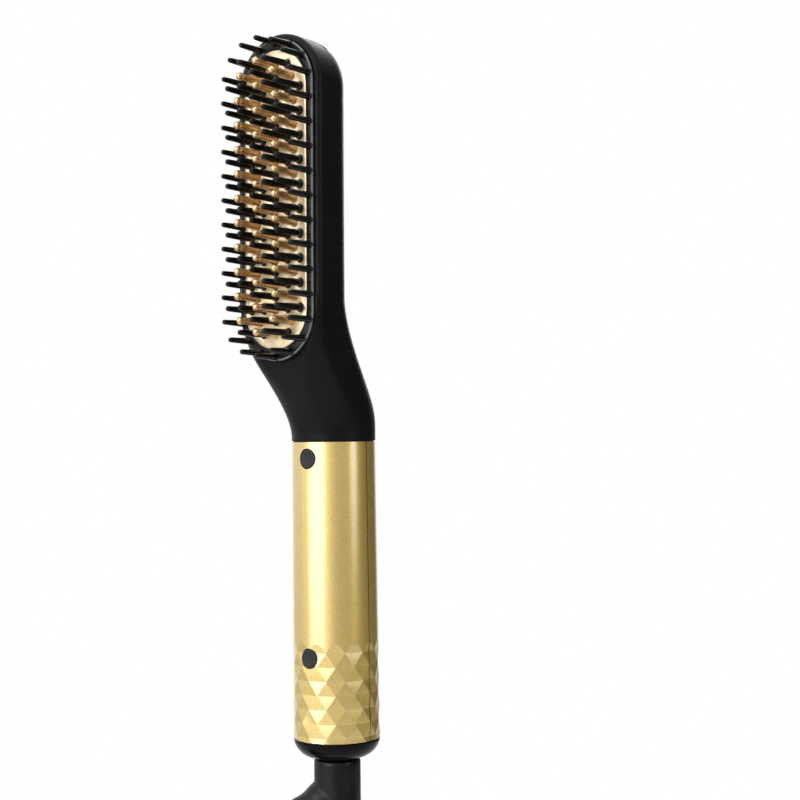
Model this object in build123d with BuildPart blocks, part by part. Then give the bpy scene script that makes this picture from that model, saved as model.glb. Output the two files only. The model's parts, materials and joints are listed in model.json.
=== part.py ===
from build123d import *
import os
from math import atan, cos, hypot, pi, radians, sin, sqrt, tan

# Heated beard comb: a handle of two half shells, an offset head with a heated
# toothed plate, a slide switch on the back and a swivelling cord with its plug.
# Millimetres. The origin is on the handle's axis at the middle of the grip.
# +Z runs up to the head, the bristles point to -Y and the switch faces +Y.

os.makedirs("parts", exist_ok=True)

# ---------------------------------------------------------------- clearances
running_fit = 0.1               # between a turning or sliding piece and its guide
loose_fit = 0.2                 # between pieces that are only laid in place
snug_fit = 0.05                 # between a screw and its hole

# ---------------------------------------------------------------- handle
grip_height = 60.0              # end cap underside to the origin
cap_height = 7.0
handle_length = 106.3
handle_top_radius = 15.0
handle_bottom_radius = 15.5
handle_wall = 2.2

handle_bottom_z = cap_height - grip_height
handle_top_z = handle_bottom_z + handle_length
handle_bore = handle_top_radius - handle_wall

# facet band around the foot of the handle
facet_columns = 14
facet_rows = 8
facet_pitch = 5.02
facet_top = 31.8                # first row of corners above the handle's foot
facet_lead = 6.6                # from that row up to where its points fade into the tube
facet_rise = 0.42               # how far those points stand outside the tube

# screws through the handle, from the front
upper_screw_z = 47.4
lower_screw_z = -23.3
plug_radius = 3.6
plug_depth = 2.6
screw_radius = 1.25
screw_head_radius = 2.5
screw_head_height = 1.8
screw_seat_depth = 7.0          # handle surface to the underside of the screw head
screw_length = 16.0
boss_wall = 0.9
boss_gap = 0.3                  # between the two bosses of a screw
back_boss_radius = 3.0
front_boss_end = 3.0            # how far the front boss stops short of the axis

# ---------------------------------------------------------------- switch side
panel_width = 10.9
panel_length = 46.2
panel_center_z = 24.6
panel_floor = 13.7              # from the handle's axis
guide_width = 8.7               # recess that the button slides in
guide_length = 26.2
guide_center_z = 15.65
guide_floor = 12.6
pad_half_width = 7.0
pad_inner = 10.7
pad_outer = 12.9
pad_margin = 0.5
switch_travel = 5.2
button_end_gap = 0.15
button_top = 16.2
button_edge = 0.7
stem_width = 3.0
stem_length = 8.0
stem_end = 8.7
led_width = 3.5
led_length = 5.6
led_z = 39.9
lens_proud = 0.15
lens_flange = 1.0
lens_flange_height = 0.8

# ---------------------------------------------------------------- electronics
board_back = 4.6
board_thickness = 1.6
board_width = 21.6
board_top_z = 43.5
board_bottom_z = -30.0
board_post_radius = 2.0
board_post_x = 8.3
board_post_top_z = 33.0
board_post_low_z = -27.0
board_screw_radius = 0.8
board_screw_head = 1.6
board_screw_head_height = 1.2
board_screw_length = 5.0
switch_body_width = 7.0
switch_body_length = 13.0
switch_body_height = 3.6
lever_width = 2.0
lever_length = 2.6
lever_height = 5.6
lever_depth = 2.6               # of the lever inside the switch, and of its socket in the stem
chip_length = 10.0
chip_width = 6.0
chip_height = 2.0
chip_z = -2.0
chip_x = 5.6
capacitor_length = 13.0
capacitor_width = 5.0
capacitor_height = 8.0
capacitor_z = 30.0
relay_length = 15.0
relay_width = 10.0
relay_height = 7.5
relay_z = -8.0
led_radius = 1.5
led_height = 5.0

# ---------------------------------------------------------------- head
neck_gap = 0.4                  # dark joint between the neck and the handle
head_rise = 84.3                # neck joint to the middle of the head
head_tilt = 0.6                 # degrees that the head leans back
face_depth = 30.4               # handle axis to the brush face
head_depth = 20.4
head_straight = 39.5            # half of the straight part of the head's outline
shell_half_width = 19.0
shell_wall = 2.0
back_round = 9.0
rim_round = 1.8
rim_drop = 1.2                  # shell rim below the brush face
shoulder_rise = 51.0            # neck joint to where the head's full section starts
neck_front_rise = 36.3          # neck joint to where the neck's front meets the head
neck_back_start = 5.3           # neck joint to where the neck's back starts to bend
neck_side_start = 15.3
neck_sections = 8
corner_flat = 0.4               # flat kept between two rounded corners of the neck
collar_length = 5.0             # of the collar on each side of the joint
collar_wall = 1.7
collar_slot = 9.6

frame_half_width = 16.8
frame_thickness = 2.4
frame_edge = 0.6
opening_half_width = 14.3
opening_straight = 38.2
plate_thickness = 2.4
plate_gap = 0.25
base_thickness = 2.0            # the bristle pad's own plate
ledge_width = 1.8
ledge_thickness = 1.6
hook_width = 6.0
hook_thickness = 1.0
hook_length = 5.2
hook_rows = 25.5

# bristle field
row_pitch = 8.5
row_count = 11
outer_ring = 15.35
ring_steps = 3
ring_angle = 26.2
tooth_column = 8.5
tooth_column_end = 7.4
peg_column = 5.55
outer_height = 10.7
peg_height = 13.1
tooth_height = 11.4
outer_root = 1.25
outer_taper = 2.4
outer_tip_round = 0.55
peg_root = 1.35
peg_taper = 1.9
peg_tip_round = 0.6
peg_collar = 1.6
peg_collar_height = 0.5
peg_hole_gap = 0.2
tooth_root = 1.6
tooth_neck = 1.15
tooth_ball = 1.4

# vents moulded into the back of the head
vent_columns = 5
vent_spacing = 6.25
vent_width = 2.9
vent_length = 6.6
vent_pitch = 8.6
vent_depth = 0.8
vent_rows = 2
vent_top = 39.6                 # middle of the first short slot above the head's middle
vent_drop = 1.35                # how much lower each column starts than the last
vent_long_gap = 2.2

# heater stack behind the plate
rib_width = 2.2
rib_length = 60.0
rib_column = 2.8
rib_gap = 0.3
rib_height = 3.0
heater_width = 12.0
heater_length = 60.0
heater_thickness = 2.4
film_thickness = 0.3
film_margin = 2.0
clamp_thickness = 0.8
clamp_width = 23.0
clamp_length = 76.0
clamp_boss_x = 8.5
clamp_boss_rows = 4             # rows from the middle of the head to a boss
clamp_boss_radius = 2.2
clamp_screw_radius = 1.0
clamp_screw_head = 1.9
clamp_screw_head_height = 1.3
clamp_screw_length = 4.5
cutout_width = 6.0
cutout_length = 16.0
cutout_height = 4.0
cutout_v = 12.0
lead_radius = 0.8

# ---------------------------------------------------------------- end cap and swivel
cap_straight = 1.0
cap_land = 8.6                  # flat foot of the cap, around the swivel
cap_bulge = 13.0
cap_bulge_rise = 1.9
cap_floor = 2.6
cap_spigot_length = 7.0
cap_spigot_wall = 1.8
bearing_radius = 4.6
bearing_wall = 1.9
bearing_length = 12.0
swivel_gap = 0.5
swivel_radius = 8.4
swivel_edge = 0.5
swivel_length = 24.5
swivel_dome = 6.5
outlet_drop = 14.0              # swivel's top face to where the outlet's axis leaves
outlet_radius = 5.5
outlet_reach = 16.0
outlet_pitch = 22.0             # degrees below the horizontal
outlet_heading = 220.0          # degrees from +X
stem_rise = 24.0
clip_radius = 6.6
clip_thickness = 0.8
clip_groove = 0.6
slip_ring_height = 2.0
slip_ring_wall = 0.7
slip_ring_top_gap = 1.5
slip_ring_spacing = 4.2
carrier_flange = 1.6
carrier_wall = 1.6
carrier_gap = 1.0
carrier_height = 9.6
brush_height = 1.5
brush_width = 2.4
brush_length = 4.2

# ---------------------------------------------------------------- cord
cord_radius = 2.5
relief_length = 30.0
relief_root_radius = 4.6
relief_tip_radius = 3.4
relief_ribs = 6
relief_rib_gap = 1.5
relief_rib_depth = 0.7
hank_length = 107.0
hank_loop_radius = 22.5
hank_waist = 10.5               # half-width under the tie
hank_sink = 0.3                 # how far the cord's ends run into the hank
hank_entry = 7.8                # hank's middle further out than the end that comes down to it
hank_thickness = 21.0
hank_edge = 5.0
tie_height = 11.0
tie_thickness = 1.2
tail_length = 14.0
plug_width = 25.0
plug_thickness = 17.0
plug_length = 30.0
plug_edge = 3.0
plug_neck_radius = 4.6
plug_neck_tip = 3.3
plug_neck_length = 9.0
blade_width = 6.35
blade_thickness = 1.5
blade_length = 17.5
blade_spacing = 12.7
blade_hole_radius = 1.6
blade_hole_offset = 11.9
blade_root = 8.0


# ================================================================ shared geometry
def ease(value, low, high, start, end):
    """Blend smoothly from start to end while value goes from low to high."""
    t = min(1.0, max(0.0, (value - low) / (high - low)))
    return start + (end - start) * t * t * (3 - 2 * t)


def handle_radius(z):
    """Outer radius of the handle at height z."""
    share = (handle_top_z - z) / handle_length
    return handle_top_radius + (handle_bottom_radius - handle_top_radius) * share


neck_bottom_z = handle_top_z + neck_gap
head_center_z = neck_bottom_z + head_rise
shoulder_z = neck_bottom_z + shoulder_rise
tilt = radians(head_tilt)
head_plane = Plane(
    origin=(0, -face_depth, head_center_z),
    x_dir=(1, 0, 0),
    z_dir=(0, -cos(tilt), sin(tilt)),
)
face_axis = Axis(head_plane.origin, head_plane.z_dir)


def head_y(z, depth):
    """Y of the head's plane that lies depth below the brush face, at height z."""
    return -face_depth + depth * cos(tilt) + (z - head_center_z - depth * sin(tilt)) * tan(tilt)


def stadium(half_width, straight):
    """Upright rounded-end outline of the head, in the active sketch."""
    SlotCenterToCenter(2 * straight, 2 * half_width, rotation=90)


def neck_section(z, inset):
    """Closed section of the neck at height z, drawn inset inside its outer surface."""
    half = ease(z, neck_bottom_z + neck_side_start, shoulder_z, handle_top_radius, shell_half_width)
    front = ease(z, neck_bottom_z, neck_bottom_z + neck_front_rise,
                 -handle_top_radius, head_y(z, rim_drop))
    back = ease(z, neck_bottom_z + neck_back_start, shoulder_z,
                handle_top_radius, head_y(z, head_depth))
    largest = min(half, (back - front) / 2) - inset - corner_flat
    front_round = min(largest, ease(z, neck_bottom_z, shoulder_z, handle_top_radius, rim_round) - inset)
    back_round_here = min(largest, ease(z, neck_bottom_z, shoulder_z, handle_top_radius, back_round) - inset)
    with BuildSketch(Plane.XY.offset(z)) as section:
        with Locations((0, (front + back) / 2)):
            Rectangle(2 * (half - inset), back - front - 2 * inset)
        corners = section.vertices().sort_by(Axis.Y)
        fillet(corners[:2], max(front_round, 0.3))
        fillet(section.vertices().sort_by(Axis.Y)[-2:], back_round_here)
    return section.sketch.faces()[0]


def head_body(inset):
    """Solid of the head and neck, inset inside the shell's outer surface."""
    with BuildPart() as body:
        with BuildSketch(head_plane.offset(inset - head_depth)):
            stadium(shell_half_width - inset, head_straight)
        extrude(amount=head_depth - rim_drop - 2 * inset)
        back_face = body.faces().sort_by(face_axis)[0]
        fillet(back_face.edges(), back_round - inset)
        front_face = body.faces().sort_by(face_axis)[-1]
        fillet(front_face.edges(), max(rim_round - inset, 0.3))
        split(bisect_by=Plane.XY.offset(shoulder_z), keep=Keep.TOP)
    shoulder = body.part.faces().sort_by(Axis.Z)[0]
    step = shoulder_rise / neck_sections
    faces = [neck_section(neck_bottom_z + step * i, inset) for i in range(neck_sections)]
    with BuildPart() as whole:
        add(body.part)
        loft(sections=faces + [shoulder])
    return whole.part


def facet_core():
    """Many-sided solid whose triangles shape the band at the foot of the handle."""
    rows = []
    for row in range(-1, facet_rows):
        z = handle_bottom_z + facet_top + (facet_lead if row < 0 else -row * facet_pitch)
        radius = handle_radius(z) + (facet_rise if row < 0 else 0)
        turn = 0.5 * (row % 2)
        angles = [2 * pi * (column + turn) / facet_columns for column in range(facet_columns)]
        rows.append([Vector(radius * cos(a), radius * sin(a), z) for a in angles])
    faces = [
        Face(Wire.make_polygon(rows[0], close=True)),
        Face(Wire.make_polygon(rows[-1], close=True)),
    ]
    for index in range(len(rows) - 1):
        upper, lower = rows[index], rows[index + 1]
        for column in range(facet_columns):
            following = (column + 1) % facet_columns
            over = upper[column] if index % 2 == 0 else upper[following]
            under = lower[following] if index % 2 == 0 else lower[column]
            faces.append(Face(Wire.make_polygon([upper[column], upper[following], under], close=True)))
            faces.append(Face(Wire.make_polygon([lower[column], lower[following], over], close=True)))
    return Solid(Shell(faces))


def bristle_rows():
    """Heights of the rows along the head, from its middle."""
    return [row_pitch * ((row_count - 1) / 2 - row) for row in range(row_count)]


def outer_points():
    """Places of the outer bristles: two straight columns and an arc at each end."""
    points = [(side * outer_ring, v) for v in bristle_rows()[1:-1] for side in (-1, 1)]
    for end in (-1, 1):
        for step in range(-ring_steps, ring_steps + 1):
            a = radians(step * ring_angle)
            points.append((outer_ring * sin(a), end * (head_straight + outer_ring * cos(a))))
    return points


def half_rows():
    """Heights of the rows that lie between and just beyond the main ones."""
    top = bristle_rows()[0] + row_pitch / 2
    return [top - row_pitch * row for row in range(row_count + 1)]


def peg_points():
    """Places of the inner plastic bristles."""
    points = [(0, v) for v in bristle_rows()]
    for v in half_rows():
        points += [(side * peg_column, v) for side in (-1, 1)]
    for v in half_rows()[1:-1]:
        points += [(side * 2 * peg_column, v) for side in (-1, 1)]
    return points


def tooth_points():
    """Places of the heated teeth."""
    rows = bristle_rows()
    points = [(0, v) for v in half_rows()]
    for v in rows:
        column = tooth_column_end if v in (rows[0], rows[-1]) else tooth_column
        points += [(side * column, v) for side in (-1, 1)]
    return points


def save(piece, name):
    """Label a finished piece and write it as its own file."""
    piece.label = name
    export_step(piece, f"parts/{name}.step")
    print(f"{name}: {len(piece.solids())} solid(s), {piece.volume:.0f} mm3")




# ================================================================ head
frame_slot = frame_half_width + running_fit
ledge_depth = frame_thickness + base_thickness
collar_radius = handle_bore - running_fit
collar_bore = collar_radius - collar_wall
hook_u = frame_half_width - running_fit - hook_thickness / 2
hook_places = [(side * hook_u, end * hook_rows) for side in (-1, 1) for end in (-1, 1)]


def vent_tools():
    """Upright grooves for the back of the head, before their floor is shaped."""
    with BuildPart() as tools:
        with BuildSketch(head_plane.offset(-head_depth - vent_depth)):
            for column in range(vent_columns):
                step = column - (vent_columns - 1) / 2
                first = vent_top - vent_drop * abs(step)
                low = first + vent_length / 2 + vent_long_gap
                high = head_straight + shell_half_width + vent_depth
                with Locations((step * vent_spacing, (low + high) / 2)):
                    SlotOverall(high - low, vent_width, rotation=90)
                with Locations(*[(step * vent_spacing, first - row * vent_pitch) for row in range(vent_rows)]):
                    SlotOverall(vent_length, vent_width, rotation=90)
        extrude(amount=back_round + vent_depth)
        add(head_body(vent_depth), mode=Mode.SUBTRACT)
    return tools.part


with BuildPart() as head_shell:
    add(head_body(0))
    add(head_body(shell_wall), mode=Mode.SUBTRACT)
    add(vent_tools(), mode=Mode.SUBTRACT)
    # opening for the frame and the pad, down to their ledge
    with BuildSketch(head_plane.offset(-ledge_depth)):
        stadium(frame_slot, head_straight)
    extrude(amount=ledge_depth, mode=Mode.SUBTRACT)
    with BuildSketch(head_plane.offset(-ledge_depth)):
        stadium(frame_slot + running_fit, head_straight)
        SlotCenterToCenter(2 * head_straight, 2 * (frame_slot - ledge_width), rotation=90, mode=Mode.SUBTRACT)
    extrude(amount=-ledge_thickness)
    # passages for the frame's hooks
    with BuildSketch(head_plane.offset(-ledge_depth)):
        with Locations(*hook_places):
            Rectangle(hook_thickness + 2 * running_fit, hook_width + 2 * loose_fit)
    extrude(amount=-ledge_thickness, mode=Mode.SUBTRACT)
save(head_shell.part, "head_shell")

# collar inside the neck and the handle, slotted for the screw's bosses
with BuildPart() as neck_collar:
    with BuildSketch(Plane.XY.offset(handle_top_z - collar_length)):
        Circle(collar_radius)
        Circle(collar_bore, mode=Mode.SUBTRACT)
        Rectangle(collar_slot, 2 * handle_bore, mode=Mode.SUBTRACT)
    extrude(amount=collar_length)
    with BuildSketch(Plane.XY.offset(handle_top_z)):
        Circle(handle_top_radius - neck_gap)
        Circle(collar_bore, mode=Mode.SUBTRACT)
    extrude(amount=neck_gap)
    with BuildSketch(Plane.XY.offset(neck_bottom_z)):
        Circle(collar_radius)
        Circle(collar_bore, mode=Mode.SUBTRACT)
    extrude(amount=collar_length)
save(neck_collar.part, "neck_collar")

with BuildPart() as bristle_frame:
    with BuildSketch(head_plane.offset(-frame_thickness)):
        stadium(frame_half_width, head_straight)
    extrude(amount=frame_thickness)
    chamfer(bristle_frame.faces().sort_by(face_axis)[-1].edges(), frame_edge)
    with BuildSketch(head_plane.offset(-frame_thickness)):
        SlotCenterToCenter(2 * opening_straight, 2 * opening_half_width, rotation=90)
    extrude(amount=frame_thickness, mode=Mode.SUBTRACT)
    with BuildSketch(head_plane.offset(-frame_edge)):
        with Locations(*outer_points()):
            Circle(outer_root)
    extrude(amount=outer_height + frame_edge, taper=outer_taper)
    fillet(bristle_frame.edges().group_by(face_axis)[-1], outer_tip_round)
    with BuildSketch(head_plane.offset(-frame_thickness)):
        with Locations(*hook_places):
            Rectangle(hook_thickness, hook_width)
    extrude(amount=-hook_length)
save(bristle_frame.part, "bristle_frame")

boss_v = clamp_boss_rows * row_pitch
clamp_places = [(side * clamp_boss_x, end * boss_v) for side in (-1, 1) for end in (-1, 1)]
heater_top = plate_thickness + rib_height
heater_bottom = heater_top + heater_thickness
film_bottom = heater_bottom + film_thickness
clamp_bottom = film_bottom + clamp_thickness
plate_half_width = opening_half_width - plate_gap

with BuildPart() as heating_plate:
    with BuildSketch(head_plane.offset(-plate_thickness)):
        stadium(plate_half_width, opening_straight)
        with Locations(*peg_points()):
            Circle(peg_collar + peg_hole_gap, mode=Mode.SUBTRACT)
    extrude(amount=plate_thickness)
    # conical teeth with ball tips
    with BuildSketch(head_plane):
        with Locations(*tooth_points()):
            Circle(tooth_root)
    tooth_center = tooth_height - tooth_ball
    extrude(amount=tooth_center, taper=atan((tooth_root - tooth_neck) / tooth_center) * 180 / pi)
    with Locations(*[head_plane.from_local_coords((u, v, tooth_center)) for u, v in tooth_points()]):
        Sphere(tooth_ball)
    # ribs that carry the heat down to the heater, and the clamp's bosses
    with BuildSketch(head_plane.offset(-plate_thickness)):
        with Locations((-rib_column, 0), (rib_column, 0)):
            Rectangle(rib_width, rib_length)
    extrude(amount=-rib_height)
    with BuildSketch(head_plane.offset(-film_bottom)):
        with Locations(*clamp_places):
            Circle(clamp_boss_radius)
            Circle(clamp_screw_radius + snug_fit, mode=Mode.SUBTRACT)
    extrude(amount=film_bottom - plate_thickness)
save(heating_plate.part, "heating_plate")

with BuildPart() as bristle_pad:
    with BuildSketch(head_plane.offset(-ledge_depth)):
        stadium(frame_slot - running_fit, head_straight)
        with Locations((-rib_column, 0), (rib_column, 0)):
            Rectangle(rib_width + 2 * rib_gap, rib_length + 2 * rib_gap, mode=Mode.SUBTRACT)
        with Locations(*clamp_places):
            Circle(clamp_boss_radius + rib_gap, mode=Mode.SUBTRACT)
        with Locations(*hook_places):
            Rectangle(hook_thickness + 2 * loose_fit, hook_width + 2 * loose_fit, mode=Mode.SUBTRACT)
    extrude(amount=base_thickness)
    with BuildSketch(head_plane.offset(-plate_thickness)):
        with Locations(*peg_points()):
            Circle(peg_root)
    extrude(amount=plate_thickness + peg_height, taper=peg_taper)
    fillet(bristle_pad.edges().group_by(face_axis)[-1], peg_tip_round)
    with BuildSketch(head_plane.offset(-plate_thickness)):
        with Locations(*peg_points()):
            Circle(peg_collar)
    extrude(amount=plate_thickness + peg_collar_height)
save(bristle_pad.part, "bristle_pad")

with BuildPart() as heater_element:
    with BuildSketch(head_plane.offset(-heater_bottom)):
        RectangleRounded(heater_width, heater_length, heater_thickness / 2)
    extrude(amount=heater_thickness)
save(heater_element.part, "heater_element")

with BuildPart() as heater_film:
    with BuildSketch(head_plane.offset(-film_bottom)):
        Rectangle(heater_width + film_margin, heater_length + film_margin)
    extrude(amount=film_thickness)
save(heater_film.part, "heater_film")

with BuildPart() as heater_clamp:
    with BuildSketch(head_plane.offset(-clamp_bottom)):
        RectangleRounded(clamp_width, clamp_length, clamp_screw_head)
        with Locations(*clamp_places):
            Circle(clamp_screw_radius + loose_fit, mode=Mode.SUBTRACT)
    extrude(amount=clamp_thickness)
save(heater_clamp.part, "heater_clamp")

with BuildPart() as clamp_screws:
    with BuildSketch(head_plane.offset(-clamp_bottom)):
        with Locations(*clamp_places):
            Circle(clamp_screw_radius)
    extrude(amount=clamp_screw_length)
    with BuildSketch(head_plane.offset(-clamp_bottom)):
        with Locations(*clamp_places):
            Circle(clamp_screw_head)
    extrude(amount=-clamp_screw_head_height)
save(clamp_screws.part, "clamp_screws")

with BuildPart() as thermal_cutout:
    with BuildSketch(head_plane.offset(-clamp_bottom)):
        with Locations((0, cutout_v)):
            RectangleRounded(cutout_width, cutout_length, cutout_width / 4)
    extrude(amount=-cutout_height)
save(thermal_cutout.part, "thermal_cutout")


def wire(points, radius, bend):
    """Round wire along straight runs joined by arcs."""
    with BuildPart() as strand:
        with BuildLine() as path:
            FilletPolyline(*points, radius=bend)
        with BuildSketch(Plane(origin=path.line @ 0, z_dir=path.line % 0)):
            Circle(radius)
        sweep(path=path.line)
    return strand.part


lead_bend = 4 * lead_radius
board_middle = board_back - board_thickness / 2
lead_start = head_plane.from_local_coords((0, -heater_length / 2, -heater_top - heater_thickness / 2))
lead_turn = head_plane.from_local_coords((0, -clamp_length / 2 - lead_bend, -heater_top - heater_thickness / 2))

with BuildPart() as heater_leads:
    for side in (-1, 1):
        add(wire([
            (side * heater_width / 4, lead_start.Y, lead_start.Z),
            (side * heater_width / 4, lead_turn.Y, lead_turn.Z),
            (side * board_width / 4, -handle_top_radius / 3, neck_bottom_z + neck_side_start / 2),
            (side * board_width / 4, board_middle, board_top_z + 2 * lead_bend),
            (side * board_width / 4, board_middle, board_top_z),
        ], lead_radius, lead_bend))
save(heater_leads.part, "heater_leads")

# ================================================================ handle
screw_heights = (upper_screw_z, lower_screw_z)
cap_top_radius = handle_bottom_radius
facet_top_z = handle_bottom_z + facet_top + facet_lead


def front_plane(y, z):
    """Plane across the handle at depth y and height z, facing the front."""
    return Plane(origin=(0, y, z), x_dir=(1, 0, 0), z_dir=(0, -1, 0))


with BuildPart() as facet_ring:
    with BuildSketch(Plane.XY.offset(handle_bottom_z - facet_pitch)):
        Circle(handle_bottom_radius + handle_wall)
    extrude(amount=facet_top_z - handle_bottom_z + facet_pitch)
    add(facet_core(), mode=Mode.SUBTRACT)

with BuildPart() as handle_tube:
    with BuildSketch(Plane.XZ):
        with BuildLine():
            Polyline(
                (handle_bore, handle_bottom_z),
                (handle_bottom_radius, handle_bottom_z),
                (handle_top_radius, handle_top_z),
                (handle_bore, handle_top_z),
                close=True,
            )
        make_face()
    revolve(axis=Axis.Z)
    add(facet_ring.part, mode=Mode.SUBTRACT)

with BuildPart() as handle_front_shell:
    add(handle_tube.part)
    split(bisect_by=Plane.XZ, keep=Keep.TOP)
    for height in screw_heights:
        surface = handle_radius(height)
        with BuildSketch(front_plane(-front_boss_end, height)):
            Circle(plug_radius + boss_wall)
        extrude(amount=handle_bore - front_boss_end)
        with BuildSketch(front_plane(-front_boss_end, height)):
            Circle(screw_radius + loose_fit)
        extrude(amount=surface, mode=Mode.SUBTRACT)
        with BuildSketch(front_plane(screw_seat_depth - surface, height)):
            Circle(screw_head_radius + loose_fit)
        extrude(amount=surface, mode=Mode.SUBTRACT)
        with BuildSketch(front_plane(plug_depth - surface, height)):
            Circle(plug_radius)
        extrude(amount=surface, mode=Mode.SUBTRACT)
save(handle_front_shell.part, "handle_front_shell")

back_boss_start = -front_boss_end + boss_gap
pad_low_z = panel_center_z - panel_length / 2 - pad_margin
pad_high_z = panel_center_z + panel_length / 2 + pad_margin
button_length = guide_length - switch_travel - 2 * button_end_gap
button_z = guide_center_z - switch_travel / 2
post_places = [(side * board_post_x, z) for side in (-1, 1) for z in (board_post_top_z, board_post_low_z)]


def back_plane(y):
    """Plane across the handle at depth y, facing the back, with its Y upwards."""
    return Plane(origin=(0, y, 0), x_dir=(-1, 0, 0), z_dir=(0, 1, 0))


with BuildPart() as handle_back_shell:
    add(handle_tube.part)
    split(bisect_by=Plane.XZ, keep=Keep.BOTTOM)
    with BuildSketch(back_plane(pad_inner)):
        with Locations((0, (pad_low_z + pad_high_z) / 2)):
            Rectangle(2 * pad_half_width, pad_high_z - pad_low_z)
    extrude(amount=pad_outer - pad_inner)
    # bosses for the two handle screws and posts for the board
    with BuildSketch(back_plane(back_boss_start)):
        with Locations(*[(0, z) for z in screw_heights]):
            Circle(back_boss_radius)
    extrude(amount=pad_outer - back_boss_start)
    with BuildSketch(back_plane(back_boss_start)):
        with Locations(*[(0, z) for z in screw_heights]):
            Circle(screw_radius + snug_fit)
    extrude(amount=screw_length - screw_seat_depth + front_boss_end, mode=Mode.SUBTRACT)
    with BuildSketch(back_plane(board_back)):
        with Locations(*post_places):
            Circle(board_post_radius)
    extrude(amount=sqrt(handle_bore**2 - board_post_x**2) + handle_wall / 4 - board_back)
    with BuildSketch(back_plane(board_back)):
        with Locations(*post_places):
            Circle(board_screw_radius + snug_fit)
    extrude(amount=board_screw_length, mode=Mode.SUBTRACT)
    # sunk panel, the button's guide, its slot and the lamp's window
    with BuildSketch(back_plane(panel_floor)):
        with Locations((0, panel_center_z)):
            SlotOverall(panel_length, panel_width, rotation=90)
    extrude(amount=handle_wall, mode=Mode.SUBTRACT)
    with BuildSketch(back_plane(guide_floor)):
        with Locations((0, guide_center_z)):
            SlotOverall(guide_length, guide_width, rotation=90)
    extrude(amount=handle_wall, mode=Mode.SUBTRACT)
    with BuildSketch(back_plane(pad_inner)):
        with Locations((0, guide_center_z)):
            Rectangle(stem_width + 2 * running_fit, stem_length + switch_travel + 2 * loose_fit)
        with Locations((0, led_z)):
            SlotOverall(led_length, led_width, rotation=90)
    extrude(amount=handle_wall + pad_outer - pad_inner, mode=Mode.SUBTRACT)
save(handle_back_shell.part, "handle_back_shell")

with BuildPart() as screw_plugs:
    for height in screw_heights:
        surface = handle_radius(height)
        with BuildSketch(front_plane(plug_depth - surface, height)):
            Circle(plug_radius - snug_fit)
        extrude(amount=plug_depth)
save(screw_plugs.part, "screw_plugs")

with BuildPart() as handle_screws:
    for height in screw_heights:
        seat = screw_seat_depth - handle_radius(height)
        with BuildSketch(front_plane(seat, height)):
            Circle(screw_head_radius)
        extrude(amount=screw_head_height)
        with BuildSketch(front_plane(seat, height)):
            Circle(screw_radius)
        extrude(amount=-screw_length)
        with BuildSketch(front_plane(seat - screw_head_height, height)):
            Rectangle(2 * screw_radius, screw_radius / 2)
            Rectangle(screw_radius / 2, 2 * screw_radius)
        extrude(amount=-screw_head_height / 2, mode=Mode.SUBTRACT)
save(handle_screws.part, "handle_screws")

# ================================================================ switch and electronics
with BuildPart() as switch_button:
    with BuildSketch(back_plane(guide_floor + button_end_gap)):
        with Locations((0, button_z)):
            SlotOverall(button_length, guide_width - 2 * button_end_gap, rotation=90)
    extrude(amount=button_top - guide_floor - button_end_gap)
    chamfer(switch_button.faces().sort_by(Axis.Y)[-1].edges(), button_edge)
    with BuildSketch(back_plane(stem_end)):
        with Locations((0, button_z)):
            Rectangle(stem_width, stem_length)
    extrude(amount=guide_floor + button_end_gap - stem_end)
    with BuildSketch(back_plane(stem_end)):
        with Locations((0, button_z)):
            Rectangle(lever_width + running_fit, lever_length + running_fit)
    extrude(amount=lever_depth, mode=Mode.SUBTRACT)
save(switch_button.part, "switch_button")

switch_top = board_back + switch_body_height
with BuildPart() as switch_lever:
    with BuildSketch(back_plane(stem_end + lever_depth - running_fit)):
        with Locations((0, button_z)):
            Rectangle(lever_width, lever_length)
    extrude(amount=-lever_height)
save(switch_lever.part, "switch_lever")

with BuildPart() as slide_switch:
    with BuildSketch(back_plane(board_back)):
        with Locations((0, guide_center_z)):
            Rectangle(switch_body_width, switch_body_length)
    extrude(amount=switch_body_height)
    fillet(slide_switch.edges().filter_by(Axis.Y), loose_fit)
    lever_foot = stem_end + lever_depth - running_fit - lever_height
    with BuildSketch(back_plane(lever_foot - running_fit)):
        with Locations((0, guide_center_z)):
            Rectangle(lever_width + 2 * running_fit, lever_length + switch_travel + 2 * loose_fit)
    extrude(amount=switch_top - lever_foot + running_fit, mode=Mode.SUBTRACT)
save(slide_switch.part, "slide_switch")

with BuildPart() as circuit_board:
    with BuildSketch(back_plane(board_back)):
        with Locations((0, (board_top_z + board_bottom_z) / 2)):
            Rectangle(board_width, board_top_z - board_bottom_z)
        with Locations((0, lower_screw_z)):
            Circle(back_boss_radius + rib_gap, mode=Mode.SUBTRACT)
        with Locations(*post_places):
            Circle(board_screw_radius + running_fit, mode=Mode.SUBTRACT)
    extrude(amount=-board_thickness)
save(circuit_board.part, "circuit_board")

with BuildPart() as board_screws:
    with BuildSketch(back_plane(board_back - board_thickness)):
        with Locations(*post_places):
            Circle(board_screw_radius)
    extrude(amount=board_screw_length)
    with BuildSketch(back_plane(board_back - board_thickness)):
        with Locations(*post_places):
            Circle(board_screw_head)
    extrude(amount=-board_screw_head_height)
save(board_screws.part, "board_screws")

with BuildPart() as control_chip:
    with BuildSketch(back_plane(board_back)):
        with Locations((chip_x, chip_z)):
            Rectangle(chip_width, chip_length)
    extrude(amount=chip_height)
    chamfer(control_chip.faces().sort_by(Axis.Y)[-1].edges(), chip_height / 8)
save(control_chip.part, "control_chip")

with BuildPart() as power_capacitor:
    with BuildSketch(back_plane(board_back - board_thickness)):
        with Locations((0, capacitor_z)):
            RectangleRounded(capacitor_width, capacitor_length, capacitor_width / 5)
    extrude(amount=-capacitor_height)
save(power_capacitor.part, "power_capacitor")

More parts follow.
